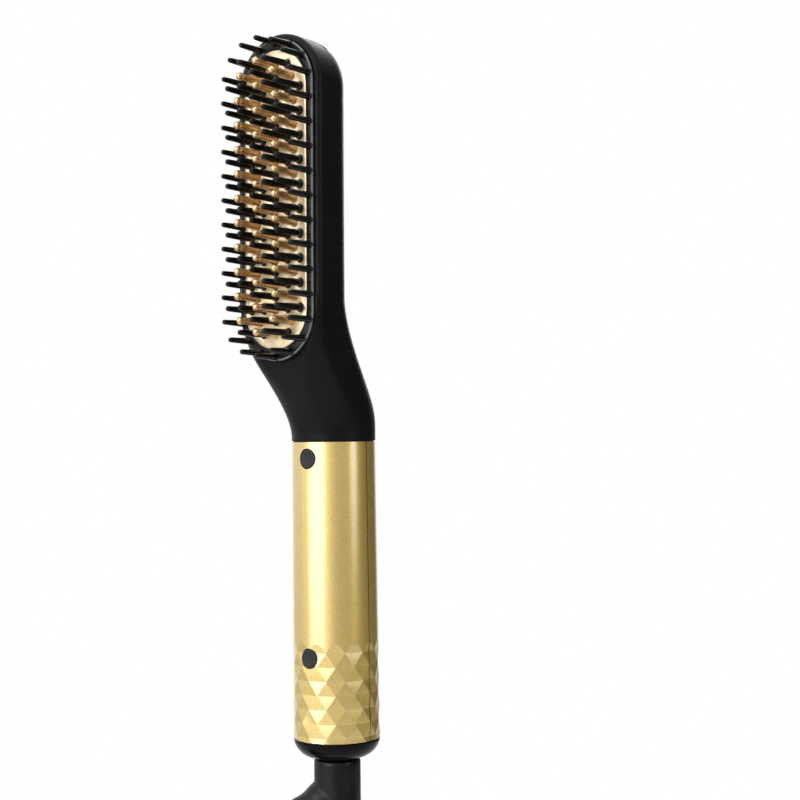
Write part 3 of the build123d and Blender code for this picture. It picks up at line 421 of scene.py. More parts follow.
class Mould:
    """A mesh under construction, in millimetres."""

    def __init__(self) -> None:
        """Start empty."""
        self.mesh = bmesh.new()

    def lathe(self, profile: Sequence[Point], segments: int, closed: bool = False) -> "Mould":
        """Spin a profile of (radius, height) points a full turn around Z.

        Args:
            profile: the points, in order.
            segments: steps of the turn.
            closed: whether the last point joins the first.

        Returns:
            This mould.
        """
        verts = [self.mesh.verts.new((radius, 0.0, height)) for radius, height in profile]
        pairs = list(zip(verts, verts[1:]))
        if closed:
            pairs.append((verts[-1], verts[0]))
        edges = [self.mesh.edges.new(pair) for pair in pairs]
        bmesh.ops.spin(self.mesh, geom=verts + edges, cent=(0, 0, 0), axis=(0, 0, 1), angle=2 * pi,
                       steps=segments, use_merge=True, use_duplicate=False)
        bmesh.ops.remove_doubles(self.mesh, verts=self.mesh.verts, dist=1e-5)
        return self.outwards()

    def rod(self, radius: float, low: float, high: float, segments: int) -> "Mould":
        """Add a plain cylinder around Z."""
        return self.lathe([(0, low), (radius, low), (radius, high), (0, high)], segments)

    def outwards(self) -> "Mould":
        """Turn every face outwards."""
        bmesh.ops.recalc_face_normals(self.mesh, faces=self.mesh.faces)
        return self

    def circle(self, segments: int, radius: float, spot: Matrix, filled: bool) -> list[bmesh.types.BMVert]:
        """Add a circle and return its vertices."""
        return bmesh.ops.create_circle(self.mesh, cap_ends=filled, segments=segments, radius=radius,
                                       matrix=spot)["verts"]

    def oblong(self, radius: float, straight: float, base: float, height: float,
               segments: int = 64) -> "Mould":
        """Add a prism whose outline is a circle pulled apart along Y.

        Args:
            radius: radius of the outline's ends.
            straight: half-length of its straight sides.
            base: height of the lower face.
            height: thickness.
            segments: steps of the outline.

        Returns:
            This mould.
        """
        verts = self.circle(segments, radius, shift(z=base) @ Matrix.Rotation(pi / segments, 4, "Z"), True)
        for vert in verts:
            vert.co.y += straight if vert.co.y > 0 else -straight
        faces = list({face for vert in verts for face in vert.link_faces})
        top = bmesh.ops.extrude_face_region(self.mesh, geom=faces, use_keep_orig=True)["geom"]
        bmesh.ops.translate(self.mesh, vec=(0, 0, height), verts=verts_in(top))
        return self.outwards()

    def loft(self, sections: Sequence[Section], segments: int = 48) -> "Mould":
        """Skin a stack of rounded rectangles.

        Args:
            sections: (height, half-width, half-depth, corner radius) of each.
            segments: steps around.

        Returns:
            This mould.
        """
        ring = self.circle(segments, 1.0, Matrix.Rotation(pi / segments, 4, "Z"), False)
        shape = [vert.co.copy() for vert in ring]
        first = list({edge for vert in ring for edge in vert.link_edges})
        edges = first
        for index, (height, half_x, half_y, corner) in enumerate(sections):
            if index:
                grown = bmesh.ops.extrude_edge_only(self.mesh, edges=edges)["geom"]
                moved = {vert.co.copy().freeze(): vert for vert in verts_in(grown)}
                ring = [moved[vert.co.copy().freeze()] for vert in ring]
                edges = edges_in(grown)
            for vert, spoke in zip(ring, shape):
                vert.co.x = spoke.x * corner + (half_x - corner if spoke.x > 0 else corner - half_x)
                vert.co.y = spoke.y * corner + (half_y - corner if spoke.y > 0 else corner - half_y)
                vert.co.z = height
        for end in (first, edges):
            bmesh.ops.edgeloop_fill(self.mesh, edges=end)
        return self.outwards()

    def bar(self, low: float, high: float, half_x: float, half_y: float, corner: float,
            segments: int = 16) -> "Mould":
        """Add a straight bar with rounded corners along Z."""
        return self.loft([(low, half_x, half_y, corner), (high, half_x, half_y, corner)], segments)

    def move(self, matrix: Matrix) -> "Mould":
        """Place the whole mould."""
        bmesh.ops.transform(self.mesh, matrix=matrix, verts=self.mesh.verts)
        return self

    def add(self, other: "Mould", places: Iterable[Matrix] = (Matrix.Identity(4),),
            finish: int = 0) -> "Mould":
        """Add copies of another mould.

        Args:
            other: the mould to copy.
            places: one matrix for each copy.
            finish: material index of the copies.

        Returns:
            This mould.
        """
        stamp = bpy.data.meshes.new("stamp")
        other.mesh.to_mesh(stamp)
        stamp.polygons.foreach_set("material_index", [finish] * len(stamp.polygons))
        for place in places:
            stamp.transform(place)
            self.mesh.from_mesh(stamp)
            stamp.transform(place.inverted())
        bpy.data.meshes.remove(stamp)
        return self

    def holder(self, name: str) -> bpy.types.Object:
        """Put a copy of the mesh on a new object in the scene.

        Args:
            name: the object's name.

        Returns:
            The object.
        """
        mesh = bpy.data.meshes.new(name)
        self.mesh.to_mesh(mesh)
        return put(name, mesh)

    def take(self, source: bpy.types.Object) -> "Mould":
        """Replace the mesh by what an object's modifiers or text make, and remove the object.

        Args:
            source: the object.

        Returns:
            This mould.
        """
        state = bpy.context.evaluated_depsgraph_get()
        shaped = bpy.data.meshes.new_from_object(source.evaluated_get(state))
        self.mesh.clear()
        self.mesh.from_mesh(shaped)
        bpy.data.batch_remove([source, source.data, shaped])
        return self

    def through(self, kind: str, **settings: object) -> "Mould":
        """Pass the mesh through one modifier and take the result.

        Args:
            kind: the modifier's type.
            settings: its properties.

        Returns:
            This mould.
        """
        source = self.holder("source")
        modifier = source.modifiers.new("change", kind)
        for key, setting in settings.items():
            setattr(modifier, key, setting)
        return self.take(source)

    def carve(self, tool: "Mould", operation: str = "DIFFERENCE") -> "Mould":
        """Cut, join or intersect with another mould.

        Args:
            tool: the other mould.
            operation: what the cut keeps.

        Returns:
            This mould.
        """
        cutter = tool.holder("cutter")
        self.through("BOOLEAN", operation=operation, solver="EXACT", object=cutter)
        bpy.data.batch_remove([cutter, cutter.data])
        return self

    def round_edges(self, chosen: Callable[[bmesh.types.BMEdge], bool], width: float, steps: int = 2,
                    clamped: bool = True) -> "Mould":
        """Bevel the edges that a test picks.

        Args:
            chosen: the test.
            width: width of the bevel.
            steps: its segments.
            clamped: whether the width shrinks where edges are short.

        Returns:
            This mould.
        """
        edges = [edge for edge in self.mesh.edges if len(edge.link_faces) == 2 and chosen(edge)]
        bmesh.ops.bevel(self.mesh, geom=edges, offset=width, affect="EDGES", segments=steps, profile=0.5,
                        material=-1, clamp_overlap=clamped)
        return self

    def paint(self, finish: int, chosen: Callable[[bmesh.types.BMFace], bool]) -> "Mould":
        """Give the faces that a test picks another finish.

        Args:
            finish: its material index.
            chosen: the test.

        Returns:
            This mould.
        """
        self.mesh.normal_update()
        for face in filter(chosen, self.mesh.faces):
            face.material_index = finish
        return self

    def piece(self, name: str, body: Body, finishes: Sequence[Finish], sharp: float = 30.0,
              replaced: Sequence[str] = ()) -> bpy.types.Object:
        """Finish the mould as a piece of the comb.

        Args:
            name: the piece's name.
            body: the body that it rides on.
            finishes: its materials, by material index.
            sharp: angle in degrees from which an edge stays sharp.
            replaced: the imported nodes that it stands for.

        Returns:
            The piece.
        """
        bmesh.ops.scale(self.mesh, vec=(MM, MM, MM), verts=self.mesh.verts)
        for face in self.mesh.faces:
            face.smooth = True
        for edge in self.mesh.edges:
            edge.smooth = len(edge.link_faces) == 2 and edge.calc_face_angle(0.0) < radians(sharp)
        piece = self.holder(name)
        self.mesh.free()
        for finish in finishes:
            piece.data.materials.append(material(finish))
        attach(piece, body.value)
        if replaced:
            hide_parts(*replaced)
        log.info("%s: %d faces", name, len(piece.data.polygons))
        return piece


def circle_through(first: Point, middle: Point, last: Point, steps: int) -> list[Point]:
    """Points along the arc through three points.

    Args:
        first: start of the arc.
        middle: a point on it.
        last: its end.
        steps: number of stretches.

    Returns:
        steps + 1 points, ends included.
    """
    a, b, c = Vector(first), Vector(middle), Vector(last)
    twice_area = 2 * (a.x * (b.y - c.y) + b.x * (c.y - a.y) + c.x * (a.y - b.y))
    squares = [p.length_squared for p in (a, b, c)]
    x = (squares[0] * (b.y - c.y) + squares[1] * (c.y - a.y) + squares[2] * (a.y - b.y)) / twice_area
    y = (squares[0] * (c.x - b.x) + squares[1] * (a.x - c.x) + squares[2] * (b.x - a.x)) / twice_area
    centre = Vector((x, y))
    spoke = a - centre
    turn = spoke.angle_signed(c - centre)
    return [tuple(Matrix.Rotation(-turn * step / steps, 2) @ spoke + centre) for step in range(steps + 1)]


BACKWARDS = Matrix(((-1, 0, 0, 0), (0, 0, 1, 0), (0, 1, 0, 0), (0, 0, 0, 1)))
FORWARDS = Matrix(((1, 0, 0, 0), (0, 0, -1, 0), (0, 1, 0, 0), (0, 0, 0, 1)))

# ---------------------------------------------------------------- studio


@dataclass(frozen=True)
class Lamp:
    """Softbox that faces the grip, placed in degrees to the right of the camera and upwards."""

    name: str
    azimuth: float
    elevation: float
    distance: float
    size: Point
    power: float


@dataclass
class Studio:
    """Pale floor, soft lamps, white surroundings and the camera."""

    distance: float = 0.571
    azimuth: float = 39.5
    height: float = 0.056
    focal_px: float = 1573.0
    axis_px: float = 333.2
    level_px: float = 433.5
    roll: float = -0.71
    image_px: float = 800.0
    sensor: float = 36.0
    floor_z: float = -0.3205
    floor_radius: float = 0.95
    fade: Point = (150.0, 850.0)
    ambient: float = 0.4
    shadow: float = 0.07
    lamp_level: float = 0.05
    lamps: tuple[Lamp, ...] = (
        Lamp("key_left", -50, 15, 0.9, (0.8, 0.9), 5.2),
        Lamp("fill_right", 55, 20, 1.0, (0.36, 0.9), 2.3),
        Lamp("top", 0, 75, 0.9, (0.8, 0.8), 2.5),
        Lamp("behind", 168, 30, 1.0, (0.8, 0.8), 5.5),
    )

    def camera(self) -> None:
        """Place the camera and make it the scene's."""
        turn = radians(self.azimuth)
        place = Vector((self.distance * sin(turn), -self.distance * cos(turn), self.height))
        ahead = Vector((-sin(turn), cos(turn), 0.0))
        right = Vector((cos(turn), sin(turn), 0.0))
        half = self.image_px / 2
        yaw = atan((half - self.axis_px) / self.focal_px)
        pitch = atan((self.level_px - half) / self.focal_px)
        forward = ahead * cos(yaw) + right * sin(yaw)
        side = right * cos(yaw) - ahead * sin(yaw)
        up = Vector((0.0, 0.0, cos(pitch))) - forward * sin(pitch)
        forward = forward * cos(pitch) + Vector((0.0, 0.0, sin(pitch)))
        tilt = radians(self.roll)
        side, up = side * cos(tilt) + up * sin(tilt), up * cos(tilt) - side * sin(tilt)
        data = bpy.data.cameras.new("camera")
        data.sensor_fit = "HORIZONTAL"
        data.sensor_width = self.sensor
        data.lens = self.focal_px / self.image_px * self.sensor
        data.clip_start = 0.01
        camera = put("camera", data)
        camera.matrix_world = Matrix.Translation(place) @ turned(side, up, -forward)
        bpy.context.scene.camera = camera

    def light(self, lamp: Lamp) -> None:
        """Add one softbox.

        Args:
            lamp: its place, size and power.
        """
        back = self.heading(lamp.azimuth, lamp.elevation)
        data = bpy.data.lights.new(lamp.name, "AREA")
        data.shape = "RECTANGLE"
        data.size, data.size_y = lamp.size
        data.energy = lamp.power
        place = Matrix.Translation(back * lamp.distance + Vector((0, 0, self.lamp_level)))
        thing = put(lamp.name, data)
        thing.matrix_world = place @ back.to_track_quat("Z", "Y").to_matrix().to_4x4()
        thing.visible_camera = False

    def heading(self, azimuth: float, elevation: float = 0.0) -> Vector:
        """Unit vector that leaves the comb, azimuth in degrees to the right of the camera."""
        turn, rise = radians(self.azimuth + azimuth), radians(elevation)
        return Vector((sin(turn) * cos(rise), -cos(turn) * cos(rise), sin(rise)))

    def surroundings(self) -> None:
        """World that is white to the eye and a studio with a dark right side to the finishes."""
        graph = Graph(bpy.data.worlds.new("studio"))
        spot = graph.value("ShaderNodeTexCoord", {}, {}, "Generated")

        def facing(azimuth: float, elevation: float = 0.0) -> Value:
            """Cosine between a ray and a heading."""
            sockets = {0: spot, 1: self.heading(azimuth, elevation)}
            return graph.value("ShaderNodeVectorMath", {"operation": "DOT_PRODUCT"}, sockets, "Value")

        def ray(kind: str) -> Value:
            """Whether a ray is of the kind."""
            return graph.value("ShaderNodeLightPath", {}, {}, f"Is {kind} Ray")

        above = facing(0, 90)
        left = facing(-100).span(-0.35, 0.5) * 0.9
        front = facing(-5).span(0.4, 0.95) * 0.4
        back = facing(180).span(0.8, 0.95) * 0.85
        room = (left + front) * above.span(-0.35, 0.08, 0.25, 1.0) + back + above.span(0.2, 0.9) * 0.5
        seen = (room + self.shadow).maths("MINIMUM", 1.0)
        eye = ray("Camera").maths("MAXIMUM", ray("Transmission"))
        strength = eye * (1.0 - self.ambient) + ray("Glossy") * (seen - self.ambient) + self.ambient
        bpy.context.scene.world = graph.dress({"Strength": strength, "Color": WHITE})

    def floor(self) -> None:
        """Round pale floor under the hanging plug, which fades to white for the camera."""
        disc = Mould()
        disc.circle(96, self.floor_radius, shift(z=self.floor_z), True)
        graph = Graph(bpy.data.materials.new("floor_paper"))
        cloud = graph.mix(graph.noise(30.0), (0.86, 0.86, 0.86), (0.9, 0.9, 0.9))
        graph.dress({"Base Color": cloud, "Roughness": 0.8})
        level = graph.place((1.0, 1.0, 0.0))
        out = graph.value("ShaderNodeVectorMath", {"operation": "LENGTH"}, {0: level}, "Value")
        share = out.span(*self.fade) * graph.value("ShaderNodeLightPath", {}, {}, "Is Camera Ray")
        glow = graph.value("ShaderNodeEmission", {}, {"Color": WHITE})
        paper = Value(graph, graph.shader.outputs[0])
        blend = graph.value("ShaderNodeMixShader", {}, {0: share, 1: paper, 2: glow})
        graph.feed(graph.tree.nodes["Material Output"].inputs["Surface"], blend)
        floor = disc.holder("floor")
        floor.data.materials.append(graph.owner)

    def build(self) -> None:
        """Set up everything around the comb."""
        bpy.context.scene.view_settings.view_transform = "Standard"
        self.camera()
        self.surroundings()
        self.floor()
        for lamp in self.lamps:
            self.light(lamp)


# ---------------------------------------------------------------- handle


@dataclass(frozen=True)
class Recess:
    """Upright round-ended recess in the back of the handle, or a block that stands in it."""

    width: float
    length: float
    middle_z: float
    floor_y: float

    def prism(self, height: float, segments: int = 48) -> Mould:
        """Prism with the recess's outline, which rises from its floor along Z."""
        straight = (self.length - self.width) / 2
        return Mould().oblong(self.width / 2, straight, self.floor_y, height, segments)

    def place(self) -> Matrix:
        """Place of the prism on the back of the handle."""
        return shift(z=self.middle_z) @ BACKWARDS


@dataclass
class Handle:
    """Two painted half shells with the faceted foot, the switch side and the screw plugs."""

    foot_z: float = -53.0
    top_z: float = 53.3
    foot_radius: float = 15.5
    top_radius: float = 15.0
    bore: float = 12.8
    segments: int = 112
    columns: int = 14
    rows: int = 8
    pitch: float = 5.02
    first_row: float = 31.8
    lead: float = 6.6
    rise: float = 0.42
    screws: tuple[float, float] = (47.4, -23.3)
    plug_radius: float = 3.6
    plug_fit: float = 0.07
    plug_play: float = 0.12
    plug_depth: float = 2.6
    panel: Recess = Recess(10.9, 46.2, 24.6, 13.7)
    guide: Recess = Recess(8.7, 26.2, 15.65, 12.6)
    window: Recess = Recess(3.5, 5.6, 39.9, 10.0)
    backing_half: float = 7.0
    backing_y: float = 10.7
    backing_z: Point = (1.0, 48.2)
    slot: Point = (3.2, 13.4)
    seam: float = 0.16
    words: tuple[tuple[str, float, float], ...] = (("ON", 2.15, 31.4), ("OFF", 2.2, -1.4))
    marks: tuple[tuple[str, float], ...] = (("392°F", 21.8), ("356°F", 15.3), ("0°F", 8.7))
    mark_height: float = 1.35
    mark_start: float = 8.35
    letter_width: float = 1.05
    dot_along: float = 7.4
    dot_radius: float = 0.4
    ink_depth: float = 0.03
    capital: float = 0.7
    boldness: float = 0.035

    def radius(self, z: float) -> float:
        """Outer radius at height z."""
        share = (self.top_z - z) / (self.top_z - self.foot_z)
        return self.top_radius + (self.foot_radius - self.top_radius) * share

    def tube(self) -> Mould:
        """Plain conical tube."""
        corners = [(self.bore, self.foot_z), (self.foot_radius, self.foot_z),
                   (self.top_radius, self.top_z), (self.bore, self.top_z)]
        return Mould().lathe(corners, self.segments, closed=True)

    def facets(self) -> Mould:
        """Many-sided core whose triangles shape the foot, wide open above them.

        Returns:
            The core.
        """
        step = 2 * pi / self.columns
        rings = []
        for row in range(self.rows - 1, -2, -1):
            plain = row < 0
            z = self.foot_z + self.first_row + (self.lead if plain else -row * self.pitch)
            radius = self.radius(z) + (self.rise if plain else 0.0)
            rings.append((z, radius, step / 2 if row % 2 else -step / 2))
        rings += [(z, 2 * self.foot_radius, 0.0) for z in (rings[-1][0], 2 * self.top_z)]
        core = Mould()
        spot = shift(z=rings[0][0]) @ Matrix.Rotation(step / 2, 4, "Z")
        lowest = core.circle(self.columns, rings[0][1], spot, False)
        first = list({edge for vert in lowest for edge in vert.link_edges})
        edges = first
        for (low, narrow, _), (z, radius, turn) in zip(rings, rings[1:]):
            grown = bmesh.ops.extrude_edge_only(core.mesh, edges=edges)["geom"]
            edges = edges_in(grown)
            wider = Matrix.Diagonal((radius / narrow, radius / narrow, 1, 1))
            place = shift(z=z - low) @ Matrix.Rotation(turn, 4, "Z") @ wider
            bmesh.ops.transform(core.mesh, matrix=place, verts=verts_in(grown))
        bmesh.ops.triangulate(core.mesh, faces=core.mesh.faces, quad_method="SHORT_EDGE")
        for end in (first, edges):
            bmesh.ops.edgeloop_fill(core.mesh, edges=end)
        return core.outwards()

    def backing(self) -> Mould:
        """Thicker wall behind the switch, with the slot for the button's stem.

        Returns:
            The wall.
        """
        low, high = self.backing_z
        middle, rise = (low + high) / 2, (high - low) / 2
        block = Mould().bar(self.backing_y, self.bore + 0.4, self.backing_half, rise, 0.5)
        slot = Mould().bar(0, 20, self.slot[0] / 2, self.slot[1] / 2, 0.2)
        slot.move(shift(y=self.guide.middle_z - middle))
        return block.carve(slot).move(shift(z=middle) @ BACKWARDS)

    def shells(self) -> None:
        """Cut the tube, split it and finish both halves."""
        whole = self.tube().carve(self.facets(), "INTERSECT").carve(self.backing(), "UNION")
        for recess in (self.panel, self.guide, self.window):
            whole.carve(recess.prism(2 * self.foot_radius).move(recess.place()))
        for z in self.screws:
            hole = Mould().rod(self.plug_radius + self.plug_fit, self.radius(z) - self.plug_depth, 30, 40)
            whole.carve(hole.move(shift(z=z) @ FORWARDS))
        for name, side in (("handle_front", -1), ("handle_back", 1)):
            half = Mould().add(whole)
            everything = [*half.mesh.verts, *half.mesh.edges, *half.mesh.faces]
            bmesh.ops.bisect_plane(half.mesh, geom=everything, dist=1e-5, plane_co=(0, side * self.seam, 0),
                                   plane_no=(0, side, 0), clear_inner=True)
            rim = [edge for edge in half.mesh.edges if edge.is_boundary]
            bmesh.ops.holes_fill(half.mesh, edges=rim, sides=0)
            half.outwards()
            # The faces inside the seam gap get the black chip finish: painted shade, so that the joint reads
            # as a dark line.
            half.paint(1, lambda face: abs(face.calc_center_median().y) < self.seam + 1e-3)
            half.round_edges(self.is_rim, 0.3, 3)
            half.round_edges(self.is_seam, 0.15, 2)
            half.piece(name, Body.COMB, [GOLD, CHIP], 5.2, [f"{name}_shell"])

    def is_rim(self, edge: bmesh.types.BMEdge) -> bool:
        """Whether an edge is an outer rim of the shell or of one of its recesses.

        Args:
            edge: the edge.

        Returns:
            Whether it is.
        """
        ends = [vert.co for vert in edge.verts]
        outside = all(Vector((co.x, co.y)).length > self.bore + 0.3 for co in ends)
        on_seam = all(abs(co.y) < self.seam + 1e-3 for co in ends)
        return outside and not on_seam and edge.calc_face_angle(0.0) > radians(32)

    def is_seam(self, edge: bmesh.types.BMEdge) -> bool:
        """Whether an edge is the outer edge of the joint between the halves.

        Args:
            edge: the edge.

        Returns:
            Whether it is.
        """
        ends = [vert.co for vert in edge.verts]
        at_gap = all(abs(co.y) < self.seam + 1e-3 and abs(co.x) > self.bore + 0.8 for co in ends)
        return at_gap and abs(ends[0].z - ends[1].z) > 0.3

    def plugs(self) -> None:
        """Rubber plugs over the two screws, with a dished face."""
        rim = self.plug_radius - self.plug_play
        dish = [(rim - 2.2, -0.36), (rim - 1.1, -0.16), (rim - 0.5, 0.0), (rim - 0.2, -0.08), (rim, -0.32)]
        stopper = Mould().lathe([(0, -0.42), *dish, (rim, -self.plug_depth), (0, -self.plug_depth)], 40)
        places = [shift(y=self.plug_play - self.radius(z), z=z) @ FORWARDS for z in self.screws]
        Mould().add(stopper, places).piece("screw_stoppers", Body.COMB, [PLUG_GREY], 30, ["screw_plugs"])

    def word(self, text: str, height: float, centre: Point, flat_y: float = 0.0) -> Mould:
        """Raised print on the back of the handle.

        Args:
            text: what it says.
            height: height of its capitals.
            centre: (distance around, height) of its middle.
            flat_y: the flat surface that it lies on, or 0 for the round one.

        Returns:
            The print.
        """
        curve = bpy.data.curves.new(text, "FONT")
        curve.body = text
        curve.size = height / self.capital
        curve.align_x = "CENTER"
        curve.offset = self.boldness * height
        curve.resolution_u = 3
        mould = Mould().take(put(text, curve))
        bmesh.ops.remove_doubles(mould.mesh, verts=mould.mesh.verts, dist=1e-4)
        bmesh.ops.solidify(mould.mesh, geom=mould.mesh.faces, thickness=-self.ink_depth)
        for vert in mould.mesh.verts:
            along, up, out = vert.co.x + centre[0], vert.co.y + centre[1] - height / 2, vert.co.z
            if flat_y:
                vert.co = (-along, flat_y + out, up)
            else:
                reach = self.radius(up)
                turn = along / reach
                vert.co = (-(reach + out) * sin(turn), (reach + out) * cos(turn), up)
        return mould.outwards()

    def lettering(self) -> None:
        """Words and numbers beside the switch, and their dots."""
        rim, ink = self.dot_radius, self.ink_depth
        dot = Mould().lathe([(0, ink), (rim - 0.02, ink), (rim, 0.0), (rim, -0.1), (0, -0.1)], 16)
        print_on = Mould()
        for (text, height, z), flat_y in zip(self.words, (self.panel.floor_y, 0.0)):
            print_on.add(self.word(text, height, (0, z), flat_y))
        for text, z in self.marks:
            middle = self.mark_start + self.letter_width * len(text) / 2
            print_on.add(self.word(text, self.mark_height, (middle, z)))
            turn = Matrix.Rotation(self.dot_along / self.radius(z), 4, "Z")
            print_on.add(dot, [shift(z=z) @ turn @ shift(y=self.radius(z)) @ BACKWARDS])
        print_on.piece("switch_marks", Body.COMB, [INK])

    def build(self) -> None:
        """Build the handle."""
        self.shells()
        self.plugs()
        self.lettering()


@dataclass
class Switch:
    """Sliding button with its knurled top, and the lamp's window above it."""

    width: float = 8.4
    length: float = 20.7
    middle_z: float = 13.05
    foot_y: float = 12.75
    top_y: float = 16.2
    cells: int = 10
    cell: Point = (4.1, 5.55)
    cell_lift: float = 0.95
    relief: float = 0.6
    stem: Point = (3.0, 8.0)
    stem_y: float = 8.7
    lens: Recess = Recess(3.3, 5.4, 39.9, 10.75)
    lens_depth: float = 3.0

    def button(self) -> None:
        """Build the button: a prism under a field of small diamond-shaped hollows."""
        field = Mould()
        bmesh.ops.create_grid(field.mesh, x_segments=self.cells, y_segments=self.cells, size=self.cells / 2)
        stretch = Matrix.Diagonal((self.cell[0] / sqrt(2), self.cell[1] / sqrt(2), 1, 1))
        field.move(shift(y=self.cell_lift, z=self.top_y) @ stretch @ Matrix.Rotation(pi / 4, 4, "Z"))
        rim = [edge for edge in field.mesh.edges if edge.is_boundary]
        bmesh.ops.poke(field.mesh, faces=field.mesh.faces, offset=-self.relief, center_mode="MEAN")
        skirt = bmesh.ops.extrude_edge_only(field.mesh, edges=rim)["geom"]
        for vert in verts_in(skirt):
            vert.co.z = 0.0
        bmesh.ops.edgeloop_fill(field.mesh, edges=[edge for edge in field.mesh.edges if edge.is_boundary])
        field.outwards()
        height = 2 * self.relief + self.top_y - self.foot_y
        block = Mould().oblong(self.width / 2, (self.length - self.width) / 2, self.foot_y, height)
        block.carve(field, "INTERSECT")
        block.round_edges(lambda edge: edge.calc_face_angle(0.0) > radians(55), 0.2, 2)
        block.add(Mould().bar(self.stem_y, self.foot_y + 0.2, self.stem[0] / 2, self.stem[1] / 2, 0.3))
        block.move(shift(z=self.middle_z) @ BACKWARDS)
        block.piece("slide_button", Body.SWITCH, [BUTTON_BLACK], 6, ["switch_button"])

    def window(self) -> None:
        """Build the smoked window of the lamp."""
        rim_z = self.lens.floor_y + self.lens_depth - 0.1
        lens = self.lens.prism(self.lens_depth, 40)
        lens.round_edges(lambda edge: all(vert.co.z > rim_z for vert in edge.verts), 0.5, 3)
        lens.move(self.lens.place())
        lens.piece("lamp_window", Body.COMB, [LENS], 40, ["lamp_lens"])

    def build(self) -> None:
        """Build the switch's visible pieces."""
        self.button()
        self.window()


# ---------------------------------------------------------------- head


@dataclass
class Head:
    """Frame with the outer bristles, toothed hot plate and the pad with its pegs."""

    face_y: float = -30.4
    middle_z: float = 138.0
    lean: float = 0.6
    straight: float = 39.5
    frame_half: float = 16.8
    frame_depth: float = 2.4
    opening_half: float = 14.3
    opening_straight: float = 38.2
    plate_gap: float = 0.25
    plate_depth: float = 2.4
    pad_low: float = -4.4
    pad_depth: float = 1.95
    pitch: float = 8.5
    row_count: int = 11
    ring: float = 15.35
    ring_turn: float = 26.2
    tooth_column: Point = (8.5, 7.4)
    tooth_height: float = 11.4
    tooth_foot: tuple[Point, ...] = ((1.95, -0.3), (1.9, 0.05), (1.66, 0.4), (1.6, 1.0))
    tooth_neck: float = 1.17
    tooth_ball: float = 1.4
    peg_column: float = 5.55
    peg_hole: float = 1.7
    peg_height: float = 13.1
    peg_radii: Point = (1.3, 0.98)
    outer_height: float = 10.7
    outer_radii: Point = (1.22, 0.93)
    flare: tuple[Point, ...] = ((0.22, -0.4), (0.18, 0.05), (0.04, 0.3), (0.0, 0.7))

    def plane(self) -> Matrix:
        """Place of the brush face: X across, Y up the head, Z out of the face.

        Returns:
            The matrix.
        """
        lean = radians(self.lean)
        up, out = Vector((0, sin(lean), cos(lean))), Vector((0, -cos(lean), sin(lean)))
        return shift(y=self.face_y, z=self.middle_z) @ turned(Vector((1, 0, 0)), up, out)

    def rows(self) -> tuple[list[float], list[float]]:
        """Heights of the main rows and of the rows between and beyond them.

        Returns:
            Both lists.
        """
        reach = (self.row_count - 1) / 2
        main = [(row - reach) * self.pitch for row in range(self.row_count)]
        between = [(row - reach - 0.5) * self.pitch for row in range(self.row_count + 1)]
        return main, between

    def outer_spots(self) -> list[Matrix]:
        """Places of the bristles around the plate.

        Returns:
            One matrix for each.
        """
        main, _ = self.rows()
        spots = [shift(side * self.ring, v) for side in (-1, 1) for v in main if abs(v) < self.straight]
        for end in (-1, 1):
            for step in range(-3, 4):
                turn = radians(step * self.ring_turn)
                spots.append(shift(self.ring * sin(turn), end * (self.straight + self.ring * cos(turn))))
        return spots

    def peg_spots(self) -> list[Matrix]:
        """Places of the pegs that stand up through the plate.

        Returns:
            One matrix for each.
        """
        main, between = self.rows()
        spots = [shift(0.0, v) for v in main]
        for v in between:
            columns = (1,) if v in (between[0], between[-1]) else (1, 2)
            spots += [shift(side * step * self.peg_column, v) for side in (-1, 1) for step in columns]
        return spots

    def tooth_spots(self) -> list[Matrix]:
        """Places of the plate's teeth.

        Returns:
            One matrix for each.
        """
        main, between = self.rows()
        spots = [shift(0.0, v) for v in between]
        for v in main:
            column = self.tooth_column[v in (main[0], main[-1])]
            spots += [shift(-column, v), shift(column, v)]
        return spots

    def bristle(self, radii: Point, height: float) -> Mould:
        """Tapered bristle with a flared foot and a round tip.

        Args:
            radii: radius at the root and at the tip.
            height: its height above the face.

        Returns:
            The bristle.
        """
        root, tip = radii
        top = height - tip
        profile = [(0, self.flare[0][1]), *((root + wider, z) for wider, z in self.flare), (tip, top)]
        profile += [(tip * cos(radians(turn)), top + tip * sin(radians(turn))) for turn in (35, 65)]
        return Mould().lathe([*profile, (0, height)], 12)

    def tooth(self) -> Mould:
        """Conical tooth that ends in a ball.

        Returns:
            The tooth.
        """
        ball = self.tooth_ball
        middle = self.tooth_height - ball
        profile = [(0, self.tooth_foot[0][1]), *self.tooth_foot, (self.tooth_neck, middle - 1.0)]
        turns = [radians(turn) for turn in (-33, -10, 15, 40, 65)]
        profile += [(ball * cos(turn), middle + ball * sin(turn)) for turn in turns]
        return Mould().lathe([*profile, (0, self.tooth_height)], 14)

    def is_top(self, edge: bmesh.types.BMEdge) -> bool:
        """Whether an edge bounds the upper face."""
        return all(vert.co.z > -1e-3 for vert in edge.verts) and edge.calc_face_angle(0.0) > 0.8

    def is_outer(self, edge: bmesh.types.BMEdge) -> bool:
        """Whether an edge bounds the upper face of the frame on the outside.

        Args:
            edge: the edge.

        Returns:
            Whether it does.
        """
        overs = [max(0.0, abs(vert.co.y) - self.straight) for vert in edge.verts]
        reaches = [Vector((vert.co.x, over)).length for vert, over in zip(edge.verts, overs)]
        return self.is_top(edge) and min(reaches) > self.frame_half - 0.3

    def frame(self) -> None:
        """Build the frame and its bristles."""
        ring = Mould().oblong(self.frame_half, self.straight, -self.frame_depth, self.frame_depth, 96)
        ring.carve(Mould().oblong(self.opening_half, self.opening_straight, -9, 18, 96))
        # The middle faces of the outer bevel take finish 2, the light grey painted highlight line.
        ring.round_edges(self.is_outer, 0.8, 4).paint(2, lambda face: 0.4 < face.normal.z < 0.9)
        ring.round_edges(self.is_top, 0.2, 2)
        ring.add(self.bristle(self.outer_radii, self.outer_height), self.outer_spots(), 1)
        ring.move(self.plane())
        ring.piece("brush_frame", Body.COMB, [FRAME_BLACK, BRISTLE_BLACK, FRAME_HIGHLIGHT], 34, ["bristle_frame"])

